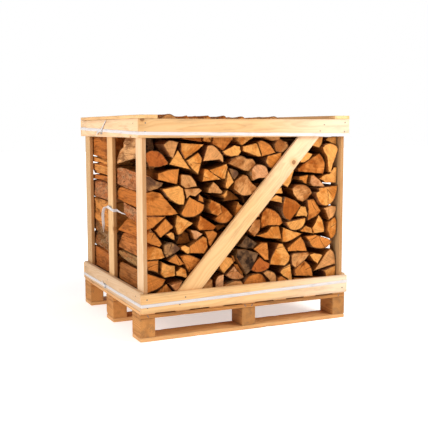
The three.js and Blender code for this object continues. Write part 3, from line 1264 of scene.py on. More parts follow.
    def wire_run(self, draft: MeshDraft, line: Array, closed: bool) -> None:
        """Sweeps round wire along a line.

        Args:
            draft: the draft it's added to.
            line: the line's points.
            closed: whether its end meets its start.
        """
        turns = np.linspace(0, 2 * math.pi, 11)[:-1]
        section = self.wire_radius * np.stack([np.sin(turns), np.cos(turns)], -1)[::-1]
        draft.add(*sweep(line, np.tile([1.0, 0.0, 0.0], (len(line), 1)), section, closed))

    def top(self) -> Piece:
        """The top strap, with its ends threaded through the buckle.

        Returns:
            The piece.
        """
        draft = self.round_rails(1.0305, -0.0115, 0.0221, 31)
        x = -602.6
        # The narrow end stands up and forward, the wide one droops towards the back.
        self.end(draft, [(x, 112, 1037), (x - 1.5, 100, 1038), (x - 3.5, 92, 1040), (x - 2.5, 78, 1046),
                         (x - 1.5, 55, 1061), (x - 1.2, 28, 1078), (x - 1.0, 3, 1091)],
                 [(-1, 0, 0)] * 3 + [(-1, 0, 0.2)] * 4, 13 * MM, 0.6)
        self.end(draft, [(x, 84, 1039), (x - 4.6, 93, 1040), (x - 5.2, 108, 1040), (x - 6.0, 130, 1034),
                         (x - 5.0, 152, 1026), (x - 3.4, 172, 1018)],
                 [(-1, 0, 0)] * 3 + [(-1, 0, 0.3)] * 3, 18 * MM, 0.9)
        return settle(draft.object("top_strap", [self.tape], 60), "strap_tape", "strap_top")

    def bottom(self) -> Piece:
        """The bottom strap, with a short end at its buckle.

        Returns:
            The piece.
        """
        draft = self.round_rails(0.191, 0.0192, -0.0115, 32)
        x = -602.6
        self.end(draft, [(x, 66, 180), (x - 4.2, 76, 180), (x - 3.0, 92, 182), (x - 2.8, 112, 189),
                         (x - 3.4, 126, 199)], [(-1, 0, 0)] * 3 + [(-1, 0.2, 0.2)] * 2, 13 * MM, 0.6)
        return settle(draft.object("bottom_strap", [self.tape], 60), "strap_tape", "strap_bottom")

    def middle(self) -> Piece:
        """The middle strap round the left middle post, with the strand that runs on to the front.

        Returns:
            The piece.
        """
        out = self.lift
        low, high = (np.array(v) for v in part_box("post_left_middle"))
        x0, x1, y0, y1 = low[0] - out, high[0] + out - 0.1 * MM, low[1] - out, high[1] + out

        def level(y: float) -> float:
            """The strap's height at y."""
            return 0.6125 + 0.12 * y

        loop, faces = [], []
        for (a, b), face in ((((x0, y1), (x0, y0)), (-1, 0)), (((x0, y0), (x1, y0)), (0, -1)),
                             (((x1, y0), (x1, y1)), (1, 0)), (((x1, y1), (x0, y1)), (0, 1))):
            a, b = np.array(a), np.array(b)
            d = (b - a) / np.linalg.norm(b - a)
            for s in np.linspace(1.4 * MM, np.linalg.norm(b - a) - 1.4 * MM, 8):
                p = a + d * s
                loop.append((p[0], p[1], level(p[1])))
                faces.append((face[0], face[1], 0))
        draft = MeshDraft()
        self.lay(draft, np.array(loop), np.array(faces, float), True)
        strand = [(1000 * x1 + 0.4 + draw, 1000 * y, 1000 * level(y) + lift) for y, lift,
                  draw in ((0.06, 0.0, 0.0), (-0.02, 0.6, 0.0), (-0.06, 1.2, 0.0), (-0.1, 2.4, 1.0),
                           (-0.14, 4.4, 4.0), (-0.165, 6.0, 9.0))]
        self.end(draft, strand, [(1, 0, 0)] * 3 + [(1, 0, 0.35), (0.9, 0, 0.7), (0.7, 0, 1)], 16 * MM, 0.45)
        self.end(draft, [(-582.6, -14, 612), (-584.5, 6, 614), (-585.6, 16, 617), (-585.4, 31, 620)],
                 [(-1, 0, 0)] * 4, 15 * MM)
        return settle(draft.object("middle_strap", [self.tape], 60), "strap_tape", "strap_middle")


# ---- Firewood ----

Corners = tuple[tuple[float, float], ...]


@dataclass(frozen=True)
class LogPlan:
    """One log's sawn end: its tone and corners, how many of them its bark runs through, its set back.

    Corners and set back are in centimetres.
    """

    tone: Tone
    corners: Corners
    bark: int = 0
    back: float = 0.0


@dataclass(frozen=True)
class FlankPlan:
    """The long face of a log that shows at the crate's side.

    The profile lists, from the sawn end inwards, the distance from the crate's middle, the face's
    lowest and highest edge, and how far it draws back from the side where it does, all in
    centimetres. Deep is how far in the face's shape is felt.
    """

    side: Side
    bark: bool
    profile: tuple[tuple[float, ...], ...] = ()
    deep: float = 7.0


def outline(corners: Array, bark: int, step: float) -> tuple[Array, Array]:
    """Draws a section: a smooth curve through the bark corners, straight split edges between the rest.

    Args:
        corners: (n, 2) corners; the first ones lie on the bark.
        bark: how many of them do.
        step: how far apart the outline's points are.

    Returns:
        (m, 2) points, counter-clockwise seen from the front, and for each edge whether it is bark.
    """
    n = len(corners)
    points, kinds = [], []
    for k in range(n):
        a, b = corners[k], corners[(k + 1) % n]
        curved = bark == n or k < bark - 1
        pieces = max(2, int(round(np.linalg.norm(b - a) / step)))
        if curved:
            before = corners[k - 1] if (k > 0 or bark == n) else 2 * a - b
            after = corners[(k + 2) % n] if (k + 2 < bark or bark == n) else 2 * b - a
            for t in np.arange(pieces) / pieces:
                points.append(0.5 * (2 * a + (b - before) * t + (2 * before - 5 * a + 4 * b - after) * t * t
                                     + (3 * a - before - 3 * b + after) * t ** 3))
        else:
            for t in np.arange(pieces) / pieces:
                points.append(a + (b - a) * t)
        kinds += [1 if curved else 0] * pieces
    points, kinds = np.array(points), np.array(kinds)
    x, z = points.T
    if (x * np.roll(z, -1) - z * np.roll(x, -1)).sum() < 0:
        points = points[::-1]
        kinds = np.roll(kinds[::-1], -1)
    return points, kinds


@dataclass
class SplitLog:
    """One split log, lying along Y."""

    plan: LogPlan
    ends: tuple[float, float]
    seed: int
    fine: bool = False
    flank: Optional[FlankPlan] = None
    # A factor on the long faces' colour: below 1 it is painted shade for logs inside the stack, above 1
    # painted light.
    painted_side_shade: float = 0.5

    def build(self, draft: MeshDraft) -> None:
        """Adds the log to a draft.

        Args:
            draft: the draft.
        """
        rng = np.random.default_rng(self.seed)
        corners = np.array(self.plan.corners, float) * CM
        points, kinds = outline(corners, self.plan.bark, 6 * MM if self.fine else 7 * MM)
        n = len(points)
        middle = points.mean(0)
        ahead = np.roll(points, -1, 0) - np.roll(points, 1, 0)
        ahead /= np.linalg.norm(ahead, axis=1)[:, None] + 1e-9
        inward = np.stack([-ahead[:, 1], ahead[:, 0]], -1)
        y0, y1 = self.ends
        length = y1 - y0
        steps = 26 if self.fine else 9
        inner = np.linspace(0, 1, steps + 1)[1:-1]
        lip = 2.0 * MM / length
        stations = np.concatenate([[0, lip, 5 * lip], inner, [1 - 5 * lip, 1 - lip, 1]])
        t = stations[:, None]
        is_bark = np.maximum(kinds, np.roll(kinds, 1)).astype(float)[None]
        s = walk(points)[None]
        # Bark is lumpy, a split face is ridged along its length; both only eat into the log.
        lumps = Ripple(rng, 0.06, 0.16, 5).at(s, t * length)
        ridges = Ripple(rng, 0.028, 0.9, 5).at(s, t * length)
        slow = Ripple(rng, 0.2, 0.6, 3).at(s, t * length)
        rags = Ripple(rng, 0.03, 0.4, 4).at(s, t * length)
        depth = 3.6 if self.fine else 2.6
        bite = np.where(is_bark > 0, (0.5 + 0.5 * lumps) * depth, (0.5 + 0.5 * ridges) * depth) * MM
        bite = bite * np.clip(t * length / 0.05, 0.5, 1) + (0.5 + 0.5 * rags) * 1.6 * MM
        bite = bite + np.clip(slow, 0, 1) * 5 * MM * np.clip((t * length - 0.01) / 0.12, 0, 1)
        bite[0] += 1.2 * MM
        bite[-1] += 1.2 * MM
        bow = rng.uniform(-1, 1, 2) * 3.5 * MM
        taper = rng.uniform(-0.05, 0.02)
        flat = points[None] + inward[None] * bite[..., None]
        if self.flank is not None and self.flank.profile:
            flat = self.follow(flat, np.abs(y0 + length * stations), points)
        else:
            flat = middle + (flat - middle) * (1 + taper * t[..., None])
            flat += bow[None, None] * np.sin(np.pi * t[..., None])
        tilt = rng.uniform(-0.05, 0.05, 4)
        off = flat - middle
        lean = (off[..., 0] * tilt[0] + off[..., 1] * tilt[1]) * (1 - t)
        lean += (off[..., 0] * tilt[2] + off[..., 1] * tilt[3]) * t
        y = y0 + length * t + lean
        rings = np.stack([flat[..., 0], np.broadcast_to(y, flat.shape[:2]), flat[..., 1]], -1)
        quad_kinds = np.tile(np.where(kinds == 1, Surface.BARK.value, Surface.SPLIT.value), len(stations) - 1)
        # Long faces: their colour times the painted shade factor.
        side_colour = np.array(self.side_colour(rng)) * self.painted_side_shade
        if self.flank is not None:
            facing = inward[:, 0] > 0.35
            other = Surface.BARK.value if self.flank.bark else Surface.SPLIT.value
            quad_kinds = np.where(np.tile(facing, len(stations) - 1), other, quad_kinds)
            side_colour = self.flank.side.colour
        pith = self.pith(points, kinds, rng)
        ends = []
        for ring in (rings[0], rings[-1]):
            centre = ring.mean(0)
            to_centre = centre - ring
            reach = np.linalg.norm(to_centre, axis=1)[:, None]
            wave = Ripple(rng, 0.05, 0.05)
            inner = [ring + to_centre / reach * np.minimum(4.5 * MM, reach * 0.3)]
            inner += [centre + (ring - centre) * share for share in (0.62, 0.3)]
            for part in inner:
                part[:, 1] += wave.at(part[:, 0], part[:, 2]) * 0.8 * MM
            ends.append([*inner, centre[None]])
        everything, quads, triangles = closed_shell(rings, ends)
        wall = len(stations) * n
        rim = np.zeros(len(everything))
        # Rim marks the end's outline: 1 on bark, for the bark line and painted shade, 0.42 on split edges,
        # for painted shade alone.
        rim[:n] = rim[wall - n : wall] = np.where(is_bark[0] > 0, 1.0, 0.42)
        grain = everything[:, [0, 2, 1]] - np.array([pith[0], pith[1], y0])
        count = len(everything)
        mottled = self.plan.tone in (Tone.GREY, Tone.SLATE)
        luck = (rng.uniform(), 0.75 if mottled else rng.uniform(0, 0.9), rng.uniform())
        warmth = 1 + rng.uniform(-0.06, 0.06)
        kinds = np.full(len(quads), Surface.SAWN.value)
        kinds[: len(quad_kinds)] = quad_kinds
        draft.add(everything, quads, triangles, kinds, Surface.SAWN.value,
                  grain=grain, rim=rim, luck=np.tile(luck, (count, 1)),
                  tone=np.tile(np.array(self.plan.tone.face) * warmth, (count, 1)),
                  blotch=np.tile(np.array(self.plan.tone.blotch) * warmth, (count, 1)),
                  side=np.tile(side_colour, (count, 1)))

    def follow(self, flat: Array, reach: Array, points: Array) -> Array:
        """Makes the log's long face follow its profile.

        Args:
            flat: (stations, n, 2) sections.
            reach: each station's distance from the crate's middle.
            points: the section at the sawn end.

        Returns:
            The changed sections.
        """
        marks = np.array([(*mark, 0)[:4] for mark in sorted(self.flank.profile)]) * CM
        low, high, inset = (np.interp(reach, marks[:, 0], marks[:, k]) for k in (1, 2, 3))
        beside = points[points[:, 0] < -0.545, 1]
        base, top = beside.min(), beside.max()
        share = np.clip((flat[..., 1] - base) / (top - base), -0.15, 1.15)
        near = 1 - np.clip((0.547 + flat[..., 0]) / (self.flank.deep * CM), 0, 1)
        z = flat[..., 1] * (1 - near) + (low[:, None] + share * (high - low)[:, None]) * near
        return np.stack([flat[..., 0] + inset[:, None] * near, z], -1)

    def side_colour(self, rng: np.random.Generator) -> Colour:
        """Draws the colour of the long faces.

        Args:
            rng: the seeded source.

        Returns:
            The colour.
        """
        choices = {
            Tone.GREY: (Side.SPLIT_BROWN, Side.BARK_GREY), Tone.SLATE: (Side.SPLIT_BROWN, Side.BARK_GREY),
            Tone.RUST: (Side.SPLIT_AMBER, Side.BARK_RUST), Tone.PAINTED_SHADE: (Side.SPLIT_BROWN, Side.BARK_BROWN),
        }.get(self.plan.tone, (Side.SPLIT_HONEY, Side.SPLIT_AMBER, Side.SPLIT_AMBER, Side.BARK_ROSE))
        return choices[rng.integers(len(choices))].colour

    def pith(self, points: Array, kinds: Array, rng: np.random.Generator) -> Array:
        """Where the tree's heart was: across from the bark, at or past the split corner.

        Args:
            points: the section's outline.
            kinds: which edges are bark.
            rng: the seeded source.

        Returns:
            The place in X and Z.
        """
        middle = points.mean(0)
        if kinds.all():
            return middle + rng.uniform(-8, 8, 2) * MM
        if kinds.any():
            bark = points[kinds == 1].mean(0)
            away = middle - bark
            return middle + away * rng.uniform(0.9, 1.6)
        turn = rng.uniform(0, 2 * math.pi)
        return middle + np.array([math.cos(turn), math.sin(turn)]) * rng.uniform(0.06, 0.11)


def log_plans(rows: Sequence[tuple[Any, ...]]) -> tuple[LogPlan, ...]:
    """Reads log plans from rows.

    Args:
        rows: for each log its tone, its corners' places across and up in turn, and then, where they
            aren't 0, how many corners its bark runs through and its set back.

    Returns:
        The plans.
    """
    return tuple(LogPlan(tone, tuple(zip(places[::2], places[1::2])), *rest) for tone, places, *rest in rows)


# The front row's sawn ends. A bark stretch is a smooth curve through the first corners; the other sides are
# split flat. Ends in the painted-shade tone sit back in recesses, and the ones at the end lie deep in the
# gaps between the others.
A, H, T, R = Tone.AMBER, Tone.HONEY, Tone.TAN, Tone.RUST
G, S, P, D = Tone.GREY, Tone.SLATE, Tone.ROSE, Tone.PAINTED_SHADE
FRONT_PLAN: tuple[LogPlan, ...] = log_plans((
    (S, (-55.7, 101, -48, 101, -46.5, 95, -50, 90.4, -55.7, 90.2), 0, 11),
    (R, (-55.7, 94, -52.5, 95.2, -47, 93, -43.2, 88.2, -43.6, 87.2, -54, 84.3, -55.5, 88.5), 4),
    (T, (-46.3, 97.1, -42.8, 99.3, -37.8, 98.3, -40.8, 90.2, -42.6, 91), 3),
    (H, (-36.9, 97.9, -24, 97, -27.5, 94, -34.5, 89.5, -36.8, 93.8)),
    (H, (-38.1, 94.5, -34.3, 88.9, -30.8, 84.1, -42.9, 87.2)),
    (H, (-27.3, 93, -25.1, 89.5, -27.2, 81.7, -30.6, 84.5, -34.1, 88.9), 3),
    (A, (-49, 83, -43, 84.8, -37.4, 85.1, -38.5, 77.1, -49, 79.8)),
    (T, (-36.2, 82.4, -32, 81.8, -29.3, 79, -27.8, 75.9, -34.3, 75, -37, 77, -37, 81.9), 4),
    (G, (-55.7, 82, -53, 81.6, -50, 79.5, -46, 78.2, -46.6, 76.8, -48.8, 75.4, -55.7, 73.7)),
    (H, (-35.5, 66.7, -39.5, 67.6, -44, 70.8, -47.2, 75.2, -38, 76.8, -35.7, 75.3, -34.7, 70), 4, -1),
    (A, (-55.7, 73, -52, 73.9, -47.6, 73.5, -38, 62.6, -41, 61.9, -55.7, 61.9)),
    (T, (-35, 75, -26.8, 75.1, -25, 73.8, -28.8, 70.8, -31.8, 71.4, -33.8, 69.9)),
    (A, (-23.9, 66.5, -24.8, 63.5, -29, 60.7, -34.5, 60.6, -37.1, 62.2, -32.3, 70.9), 5),
    (A, (-26.6, 72, -24.2, 70, -23.9, 67.5, -27.2, 68.5), 3, 1),
    (H, (-38.8, 62, -29.8, 57.4, -34, 54.6, -36.8, 51.9, -38.6, 52, -40, 56.5)),
    (A, (-55.7, 61.6, -44.8, 61.6, -52, 55.8, -55.7, 54.7)),
    (A, (-45.2, 60.8, -41.2, 56.8, -41.5, 55.6, -48, 51.1, -51.2, 55), 2),
    (H, (-45.3, 52.7, -42, 53.8, -40.6, 53, -40.1, 49.2, -42, 50)),
    (A, (-53.3, 55.4, -50.2, 53, -46.9, 48, -48.4, 46.2, -51, 46.8, -55.7, 48.8, -55.7, 52), 3),
    (D, (-38.3, 46.8, -36.8, 51.3, -34.3, 53.6, -31.5, 52, -30.2, 47.5, -33, 46.6), 3, 3),
    (P, (-32, 54.2, -28.6, 53.8, -25, 51.8, -28.7, 48.9, -30.2, 49.2)),
    (A, (-26.5, 61.3, -17.2, 55.2, -18, 54, -19.5, 53.3, -27.2, 53.5, -28.2, 55.5)),
    (H, (-52, 47.4, -46.9, 45.3, -45.4, 40.9, -48, 40.2, -55.7, 40.1, -55.2, 44.5)),
    (G, (-46.2, 47.5, -43, 48.5, -40, 47.5, -36.9, 45, -40, 42.8, -44.8, 40.9, -46.3, 43.5), 4),
    (H, (-37.5, 45.9, -35.2, 46.8, -32, 45.4, -32.2, 42.3, -33.6, 41.9, -37, 44.4)),
    (A, (-32.4, 46, -24.8, 50.6, -22.7, 49.5, -21.9, 44.5, -23.9, 41.4, -32.3, 42.2)),
    (A, (-44.5, 39.2, -42, 41.3, -39.8, 42.5, -35.3, 37, -38, 36.3), 3),
    (A, (-37.6, 41.3, -33, 41.8, -26, 38.8, -27, 36, -32.6, 32.2, -34.6, 36), 3),
    (A, (-55.7, 40, -48.6, 39.9, -48.8, 32.7, -54, 34.8, -55.7, 37), 0, 1),
    (H, (-47.6, 39.2, -43.5, 37.2, -40.3, 36.6, -40.2, 31.3, -46.2, 30.8, -48.2, 33)),
    (H, (-37, 35.7, -34.6, 34.3, -33.5, 30.2, -35, 29.9, -37.6, 30.9, -40, 31.4, -40, 33.5), 3),
    (A, (-45.2, 29.9, -47, 26.8, -51, 24.6, -55.7, 23.4, -55.7, 34.1), 4),
    (A, (-44.8, 27.7, -41.3, 23.3, -42, 17, -51, 17, -50.4, 23.4)),
    (P, (-43.5, 27.3, -36.6, 28.8, -39.2, 23.8, -40.2, 22.8, -41.4, 24.5), 0, -1),
    (T, (-22.2, 96.3, -19.8, 96.8, -16.5, 95, -13, 91, -12.7, 87.4, -15, 89, -24.7, 88.3), 4),
    (H, (-13.8, 93.2, -6.8, 96.5, -3.6, 95.7, -2.8, 93.2, -4.2, 90.9, -9, 90.4, -12.5, 91.7)),
    (H, (-2.6, 95.7, 5.2, 97.4, 6.3, 96.8, 8.6, 90.3, 6.5, 90.1, -2.6, 93.3)),
    (A, (6.2, 98, 8.8, 98.8, 13, 97, 15.6, 94.3, 17.1, 92, 9, 90.2), 5),
    (T, (-10.4, 87, -8, 89.6, -3.5, 91, 0.5, 89.5, 3.5, 89.2, 5.3, 87.2, 4.6, 85.5, 1.5, 82.7, -1, 82.9), 6),
    (P, (2, 80.5, 2.4, 84.3, 6, 86.5, 10.8, 85.2, 12.6, 81.5, 11.2, 79, 6.5, 79, 3, 77.8), 5, -1),
    (H, (15.4, 83.3, 12.3, 85.3, 11, 88, 12, 90.5, 20.6, 92.4, 21, 85), 4),
    (H, (-21.3, 84, -11, 87, -10.4, 85.3, -11.9, 79.1, -13.8, 79.1, -19.5, 82.3)),
    (H, (-24.2, 84.7, -22.4, 84.6, -14.3, 79, -25.1, 78.1)),
    (G, (-9.8, 84.9, -5, 83.4, -4, 81.2, -6.2, 78.4, -8, 79.8), 4, 1),
    (H, (-10.7, 83.7, -7.4, 77.6, -11, 73.9, -12.6, 75.2, -11.9, 79)),
    (T, (6.8, 74, 4.5, 71.3, 0.5, 70, -3.5, 70.5, -7.6, 73.7, -7, 78, -2, 81.2, 0.2, 80.8, 3.5, 76.4), 5),
    (D, (5, 76.4, 11, 76.4, 9, 71, 7, 73.9), 0, 2),
    (T, (-22, 72.4, -21.5, 75, -18.6, 78, -16.6, 76.3, -13.5, 72.6, -14.4, 71.6)),
    (H, (-14.5, 70.9, -11.3, 73.8, -11.2, 71.3, -12.6, 69.1), 0, -1),
    (D, (-10.7, 73.7, -7.5, 72.3, -4, 69.5, -2.8, 68, -12.7, 67.4, -11.2, 69.7), 0, 3),
    (A, (-20.3, 69, -15.2, 66.7, -14, 62.3, -16.5, 60.3, -20.5, 62, -22, 65.5)),
    (D, (-24, 70.3, -20.9, 69.3, -22.6, 64.5, -25, 65), 0, 4),
    (A, (-7.4, 59.7, -9.8, 57, -13, 56.1, -17, 57.3, -18.3, 58.9, -14, 62.3, -15, 66.5, -11.5, 64.2), 5),
    (D, (-17, 55.6, -11.5, 55.7, -10.5, 54.5, -15.6, 52.2), 0, 3),
    (A, (-23.6, 52.9, -18.8, 53.2, -16.2, 51.3, -17.5, 49, -20.5, 44.6, -21.4, 46, -22.4, 50)),
    (H, (-5, 67.4, -3.8, 65.9, -1, 64.7, -1, 60.5, -6.2, 59.5, -6.5, 64)),
    (D, (-1, 69.8, 4.5, 69.6, 5, 66, 0, 66), 0, 3),
    (A, (9.8, 61.3, 12.5, 63.2, 17, 61.6, 20.3, 58.5, 21.9, 55, 20, 53.4, 13, 53.8, 9, 52.4, 8.6, 56.5), 5),
    (T, (0.8, 51.8, 4.8, 57.4, 8.4, 57.3, 8.6, 54.5, 8, 51.5, 4.9, 48.3)),
    (H, (5.8, 48.8, 12, 50.3, 15, 53.3, 19.6, 53.2, 21.2, 46.1, 12, 47)),
    (S, (-0.2, 49.3, 6.2, 44.9, 3.6, 42.4, -0.5, 42.5, -4.7, 43.8)),
    (S, (-5.8, 42.6, -1, 42.3, 6.9, 39.5, 2.5, 31, -0.6, 28.7, -6.3, 38.3), 0, -1),
    (A, (3.9, 42, 8.8, 45, 12.6, 44.8, 13.2, 40.5, 13.2, 35.4, 11, 35.4, 6.9, 39.6)),
    (R, (14.2, 33.5, 13.3, 31, 9.5, 29.2, 6, 29.2, 2.5, 30.7, 5, 34.5, 7.8, 37.6, 10.5, 35.3), 5),
    (H, (-12.5, 39.4, -8.3, 38.2, -7.4, 35.5, -13.2, 30.2, -15.8, 33.2, -16.2, 36)),
    (A, (-8.2, 39.2, -7, 39.4, -5.3, 36, -7.1, 35.4), 0, 1),
    (P, (-1.2, 27.6, -4, 26.4, -9, 26.9, -12.4, 29.4, -7.3, 34, -5.5, 31.5), 4),
    (A, (-7, 34.8, -4.3, 34.4, -1, 29.2, -1.3, 27.8, -5.3, 31.5), 0, 1),
    (P, (-18, 26.5, -17, 28.8, -15, 29.8, -12.8, 29.8, -13, 24.5, -13, 20, -18, 20), 3),
    (T, (-21.8, 28.6, -19.3, 27.6, -19, 20, -27, 20, -25.5, 24)),
    (T, (-13, 24.2, -10, 25.6, -6.5, 26.2, -3, 25.6, -1.8, 23.8, -2, 18, -13, 18), 5),
    (A, (-1.9, 25, 1, 28, 5.5, 29, 9, 28.1, 12.6, 23.5, 12, 17, -1.5, 17), 5),
    (T, (9.8, 28.8, 12.5, 29.8, 17, 28.4, 18.5, 25.5, 18.3, 20, 14, 20, 14.2, 24), 5),
    (T, (16.3, 96, 17.6, 98.4, 19.9, 99.5, 22, 98.4, 24.4, 97.7, 25.5, 94.8, 23.6, 93.2, 21.3, 91.9,
        17.4, 92.8), 9),
    (H, (40, 95.4, 40, 100.3, 46.8, 100.3, 46.3, 96.7, 44.7, 94.2)),
    (H, (48.4, 98.4, 50, 100.2, 55.6, 100.3, 55.6, 95.6, 51.5, 97), 0, 1),
    (H, (45.4, 94.5, 47.5, 96.5, 51, 96.8, 54.6, 95.4, 55.7, 93.6, 53.8, 88, 52.6, 85.5, 51.5, 80.8,
        49.8, 80.8, 48.5, 89.3, 46.5, 92), 5, -1),
    (A, (44.6, 91.5, 47, 89, 48.3, 84.8, 47, 80.1, 31, 81.8, 30.7, 83.4, 37.5, 87.9), 4),
    (H, (33, 92, 37.3, 92.1, 39.9, 91, 37.8, 88.3, 34.8, 86.6, 32, 86.5)),
    (H, (31.5, 79.3, 37.5, 80.1, 36.3, 75.1, 35, 75.3, 33.3, 77, 31.6, 77.2)),
    (P, (38.3, 79.5, 40.2, 80, 43.8, 77.3, 47, 73.9, 46.6, 73.2, 39.5, 73.7, 37.6, 75.5), 0, -1),
    (H, (44, 77.6, 48, 79.9, 51, 80.4, 53.5, 83.9, 55.6, 83.9, 55.4, 75, 48.3, 75.2, 47, 76.2)),
    (H, (20, 77, 27, 84, 28.6, 82.4, 26.6, 76, 24.7, 73.5, 22, 74.9)),
    (T, (27, 73, 30, 75, 35, 74.8, 38.3, 72.8, 40, 70.2, 37, 67, 34, 65.4, 30.6, 66.8, 27.9, 70), 5),
    (H, (16, 72, 20.6, 74, 21.5, 71, 21.3, 70.4, 15, 70.4)),
    (H, (13, 67, 17.5, 70, 21.6, 68.5, 21.6, 65.2, 17.5, 66.2, 14.5, 66.8)),
    (A, (26, 55.4, 22.6, 57.5, 20.9, 61.5, 21.8, 66.5, 22.6, 69, 29.6, 66.4, 32.9, 63.6, 31, 60.6), 5),
    (H, (29.8, 57.6, 31.4, 60.8, 33, 63.3, 36, 62.9, 37.5, 59, 37.1, 57, 35.4, 57.7)),
    (A, (46.1, 60, 43.5, 57.2, 37.6, 54.9, 37.9, 61, 37, 66.4, 41.3, 66.8), 3),
    (H, (36.1, 54.8, 34, 51.5, 29.5, 50.1, 25.8, 51.3, 23.2, 55.1, 35.8, 56.8), 5),
    (H, (55.2, 70.5, 53, 65.2, 48.5, 62.7, 44.5, 63.8, 41.8, 68.5, 41.7, 70.5, 43.8, 71, 43.2, 72.8,
        55.6, 73.9), 6, -1),
    (T, (47, 61.6, 52.5, 62.8, 55.6, 62.2, 55.6, 60, 54, 56.5, 50.8, 54.6, 48.6, 60)),
    (H, (44.6, 58.1, 47, 55.2, 48.5, 50.5, 48.4, 48.2, 41.3, 47.6, 40.3, 50.8, 42, 53), 4),
    (H, (32.5, 49.5, 36.3, 52.6, 40, 51.1, 41, 47.8)),
    (H, (54.3, 56.6, 55.7, 54.5, 55.7, 49.5, 55, 46.5, 52, 44.1, 49.4, 49.7, 50, 53.6), 4, -1),
    (H, (34.3, 48.3, 30, 46, 25.5, 44.3, 21.8, 44.2, 21.4, 48, 22, 52.4, 28.5, 49.9), 4),
    (A, (33.2, 46.9, 35.6, 43.6, 37.4, 38.3, 25, 39.1, 24.9, 41, 29, 44.2), 3),
    (A, (53.5, 42.6, 50, 39.4, 45, 39.1, 40.5, 40.5, 37.8, 44.6, 36, 46.6, 42.5, 47.2, 50.5, 44.8), 5),
    (H, (26.6, 36.3, 25.8, 33.6, 23.4, 31.4, 14, 32.7, 14.6, 36, 19.3, 44, 21.9, 43.7), 3),
    (T, (27, 36.6, 28, 38, 37.8, 38, 38.2, 36.4, 36.5, 34.3, 30, 29.5, 27.3, 31.9)),
    (A, (35.4, 33.7, 38.4, 31.4, 40.4, 28, 41, 24.3, 29.4, 25.4, 29.6, 29), 4),
    (H, (38.6, 36.4, 42, 37.1, 46.8, 36, 47.3, 35.3, 44, 30.8, 41, 33.2)),
    (T, (52.3, 39, 54.9, 36.2, 55.7, 33, 55.7, 30, 50, 28.9, 41.4, 27, 45, 31.1, 49.3, 36.8), 3),
    (H, (47.2, 26.9, 55.7, 29.5, 55.7, 20, 49, 20, 48.8, 25.6)),
    (H, (20.1, 28.3, 22.5, 30.7, 26.7, 32.4, 27.3, 28.5, 28.3, 22, 28.3, 17, 25.6, 17, 25.6, 24, 22, 26)),
    (A, (18.9, 25.2, 21.2, 26.2, 25.2, 23.8, 25.2, 17, 18.9, 17)),
    (A, (-33, 31.5, -27.5, 35.8, -22, 33.2, -23, 29.2, -31, 25.5)),
    (T, (-23.5, 39.5, -19.5, 44, -14, 41, -16.8, 36.5, -22, 34.2)),
    (H, (-17.5, 47.5, -12, 52, -6.8, 49, -7.2, 43.6, -13.5, 42)),
    (A, (-9, 53.5, -4, 59, 0.5, 57, -0.3, 51, -5, 50.2)),
    (T, (0, 61, 4, 65, 9, 63.4, 8, 58.5, 2, 58)),
    (A, (7, 69.8, 12, 74.5, 15, 72.5, 12, 67.5, 8.5, 66.5)),
    (H, (13, 77.5, 17, 81.7, 20, 80, 18.5, 76, 16, 73.6, 13, 75)),
    (A, (21.6, 85, 24, 91, 31, 90.4, 29.5, 84.8, 25, 83.2)),
    (T, (27, 94, 32, 99.2, 38.5, 98.8, 36.5, 93.2, 32, 92.2)),
    (A, (-55.7, 22.8, -52, 23.6, -51.2, 17, -55.7, 17)),
    (T, (29, 24.4, 41, 23.4, 41, 17, 29, 17)),
    (A, (41.6, 23.5, 48.3, 23.5, 48.3, 17, 41.6, 17), 0, 1),
    (A, (-40.8, 21.5, -28, 22, -27.6, 17, -41.2, 17), 0, 1),
    (D, (40, 52, 55.6, 47, 55.6, 42, 40, 46), 0, 14),
    (D, (47, 79, 55.6, 79, 55.6, 73, 47, 73), 0, 14),
    (D, (49, 67, 55.6, 67, 55.6, 60.5, 49, 60.5), 0, 14),
    (D, (-22.3, 86.5, -18, 88.4, -13.9, 87, -18, 84.4), 0, 15),
    (D, (-27.2, 19, -20, 21.4, -13.6, 19.5, -20, 17.6), 0, 15),
    (D, (37.2, 91.5, 43, 94.2, 47.4, 93, 43.5, 90.2), 0, 16),
    (D, (-28.3, 79, -25, 83, -21.6, 78, -25, 74.3), 0, 15),
    (D, (36.2, 78.5, 41, 80.6, 46.8, 77.5, 41, 74), 0, 16),
    (D, (45.6, 57, 47, 62.6, 48.5, 61, 47.5, 55.6), 0, 15),
    (D, (2.2, 71.5, 5.5, 73.4, 8.1, 71.5, 5.5, 69.6), 0, 16),
    (D, (8.6, 65.8, 12, 67, 14.6, 66, 12, 64.8), 0, 15),
    (D, (-29.6, 92.5, -26, 94.6, -24.2, 91.5, -27, 90.2), 0, 16),
    (D, (-18.3, 72, -9.8, 67.8, -10.2, 65.2, -14.5, 68), 0, 16),
    (D, (-10.5, 66.5, -6.2, 67.8, -6, 58.5, -7.5, 58.8), 0, 15),
    (D, (-7, 73, -2, 70, -0.8, 67.2, -3.5, 69), 0, 16),
    (D, (-32, 59, -28.5, 61, -27.6, 58.5, -28.5, 57.1), 0, 15),
    (D, (-22.3, 59, -19, 61, -17.7, 59.5, -19, 57), 0, 15),
    (D, (12.2, 84, 13.8, 84, 15.1, 79, 13.5, 78.4), 0, 16),
    (D, (13, 74, 19.1, 75, 18, 73, 15.5, 71.6), 0, 15),
    (D, (12.7, 19, 14.5, 21.2, 18.4, 18.6, 14, 18), 0, 16),
    (D, (-3.3, 59, 0.5, 60.4, 1, 58.5, -1, 57.6), 0, 15),
))

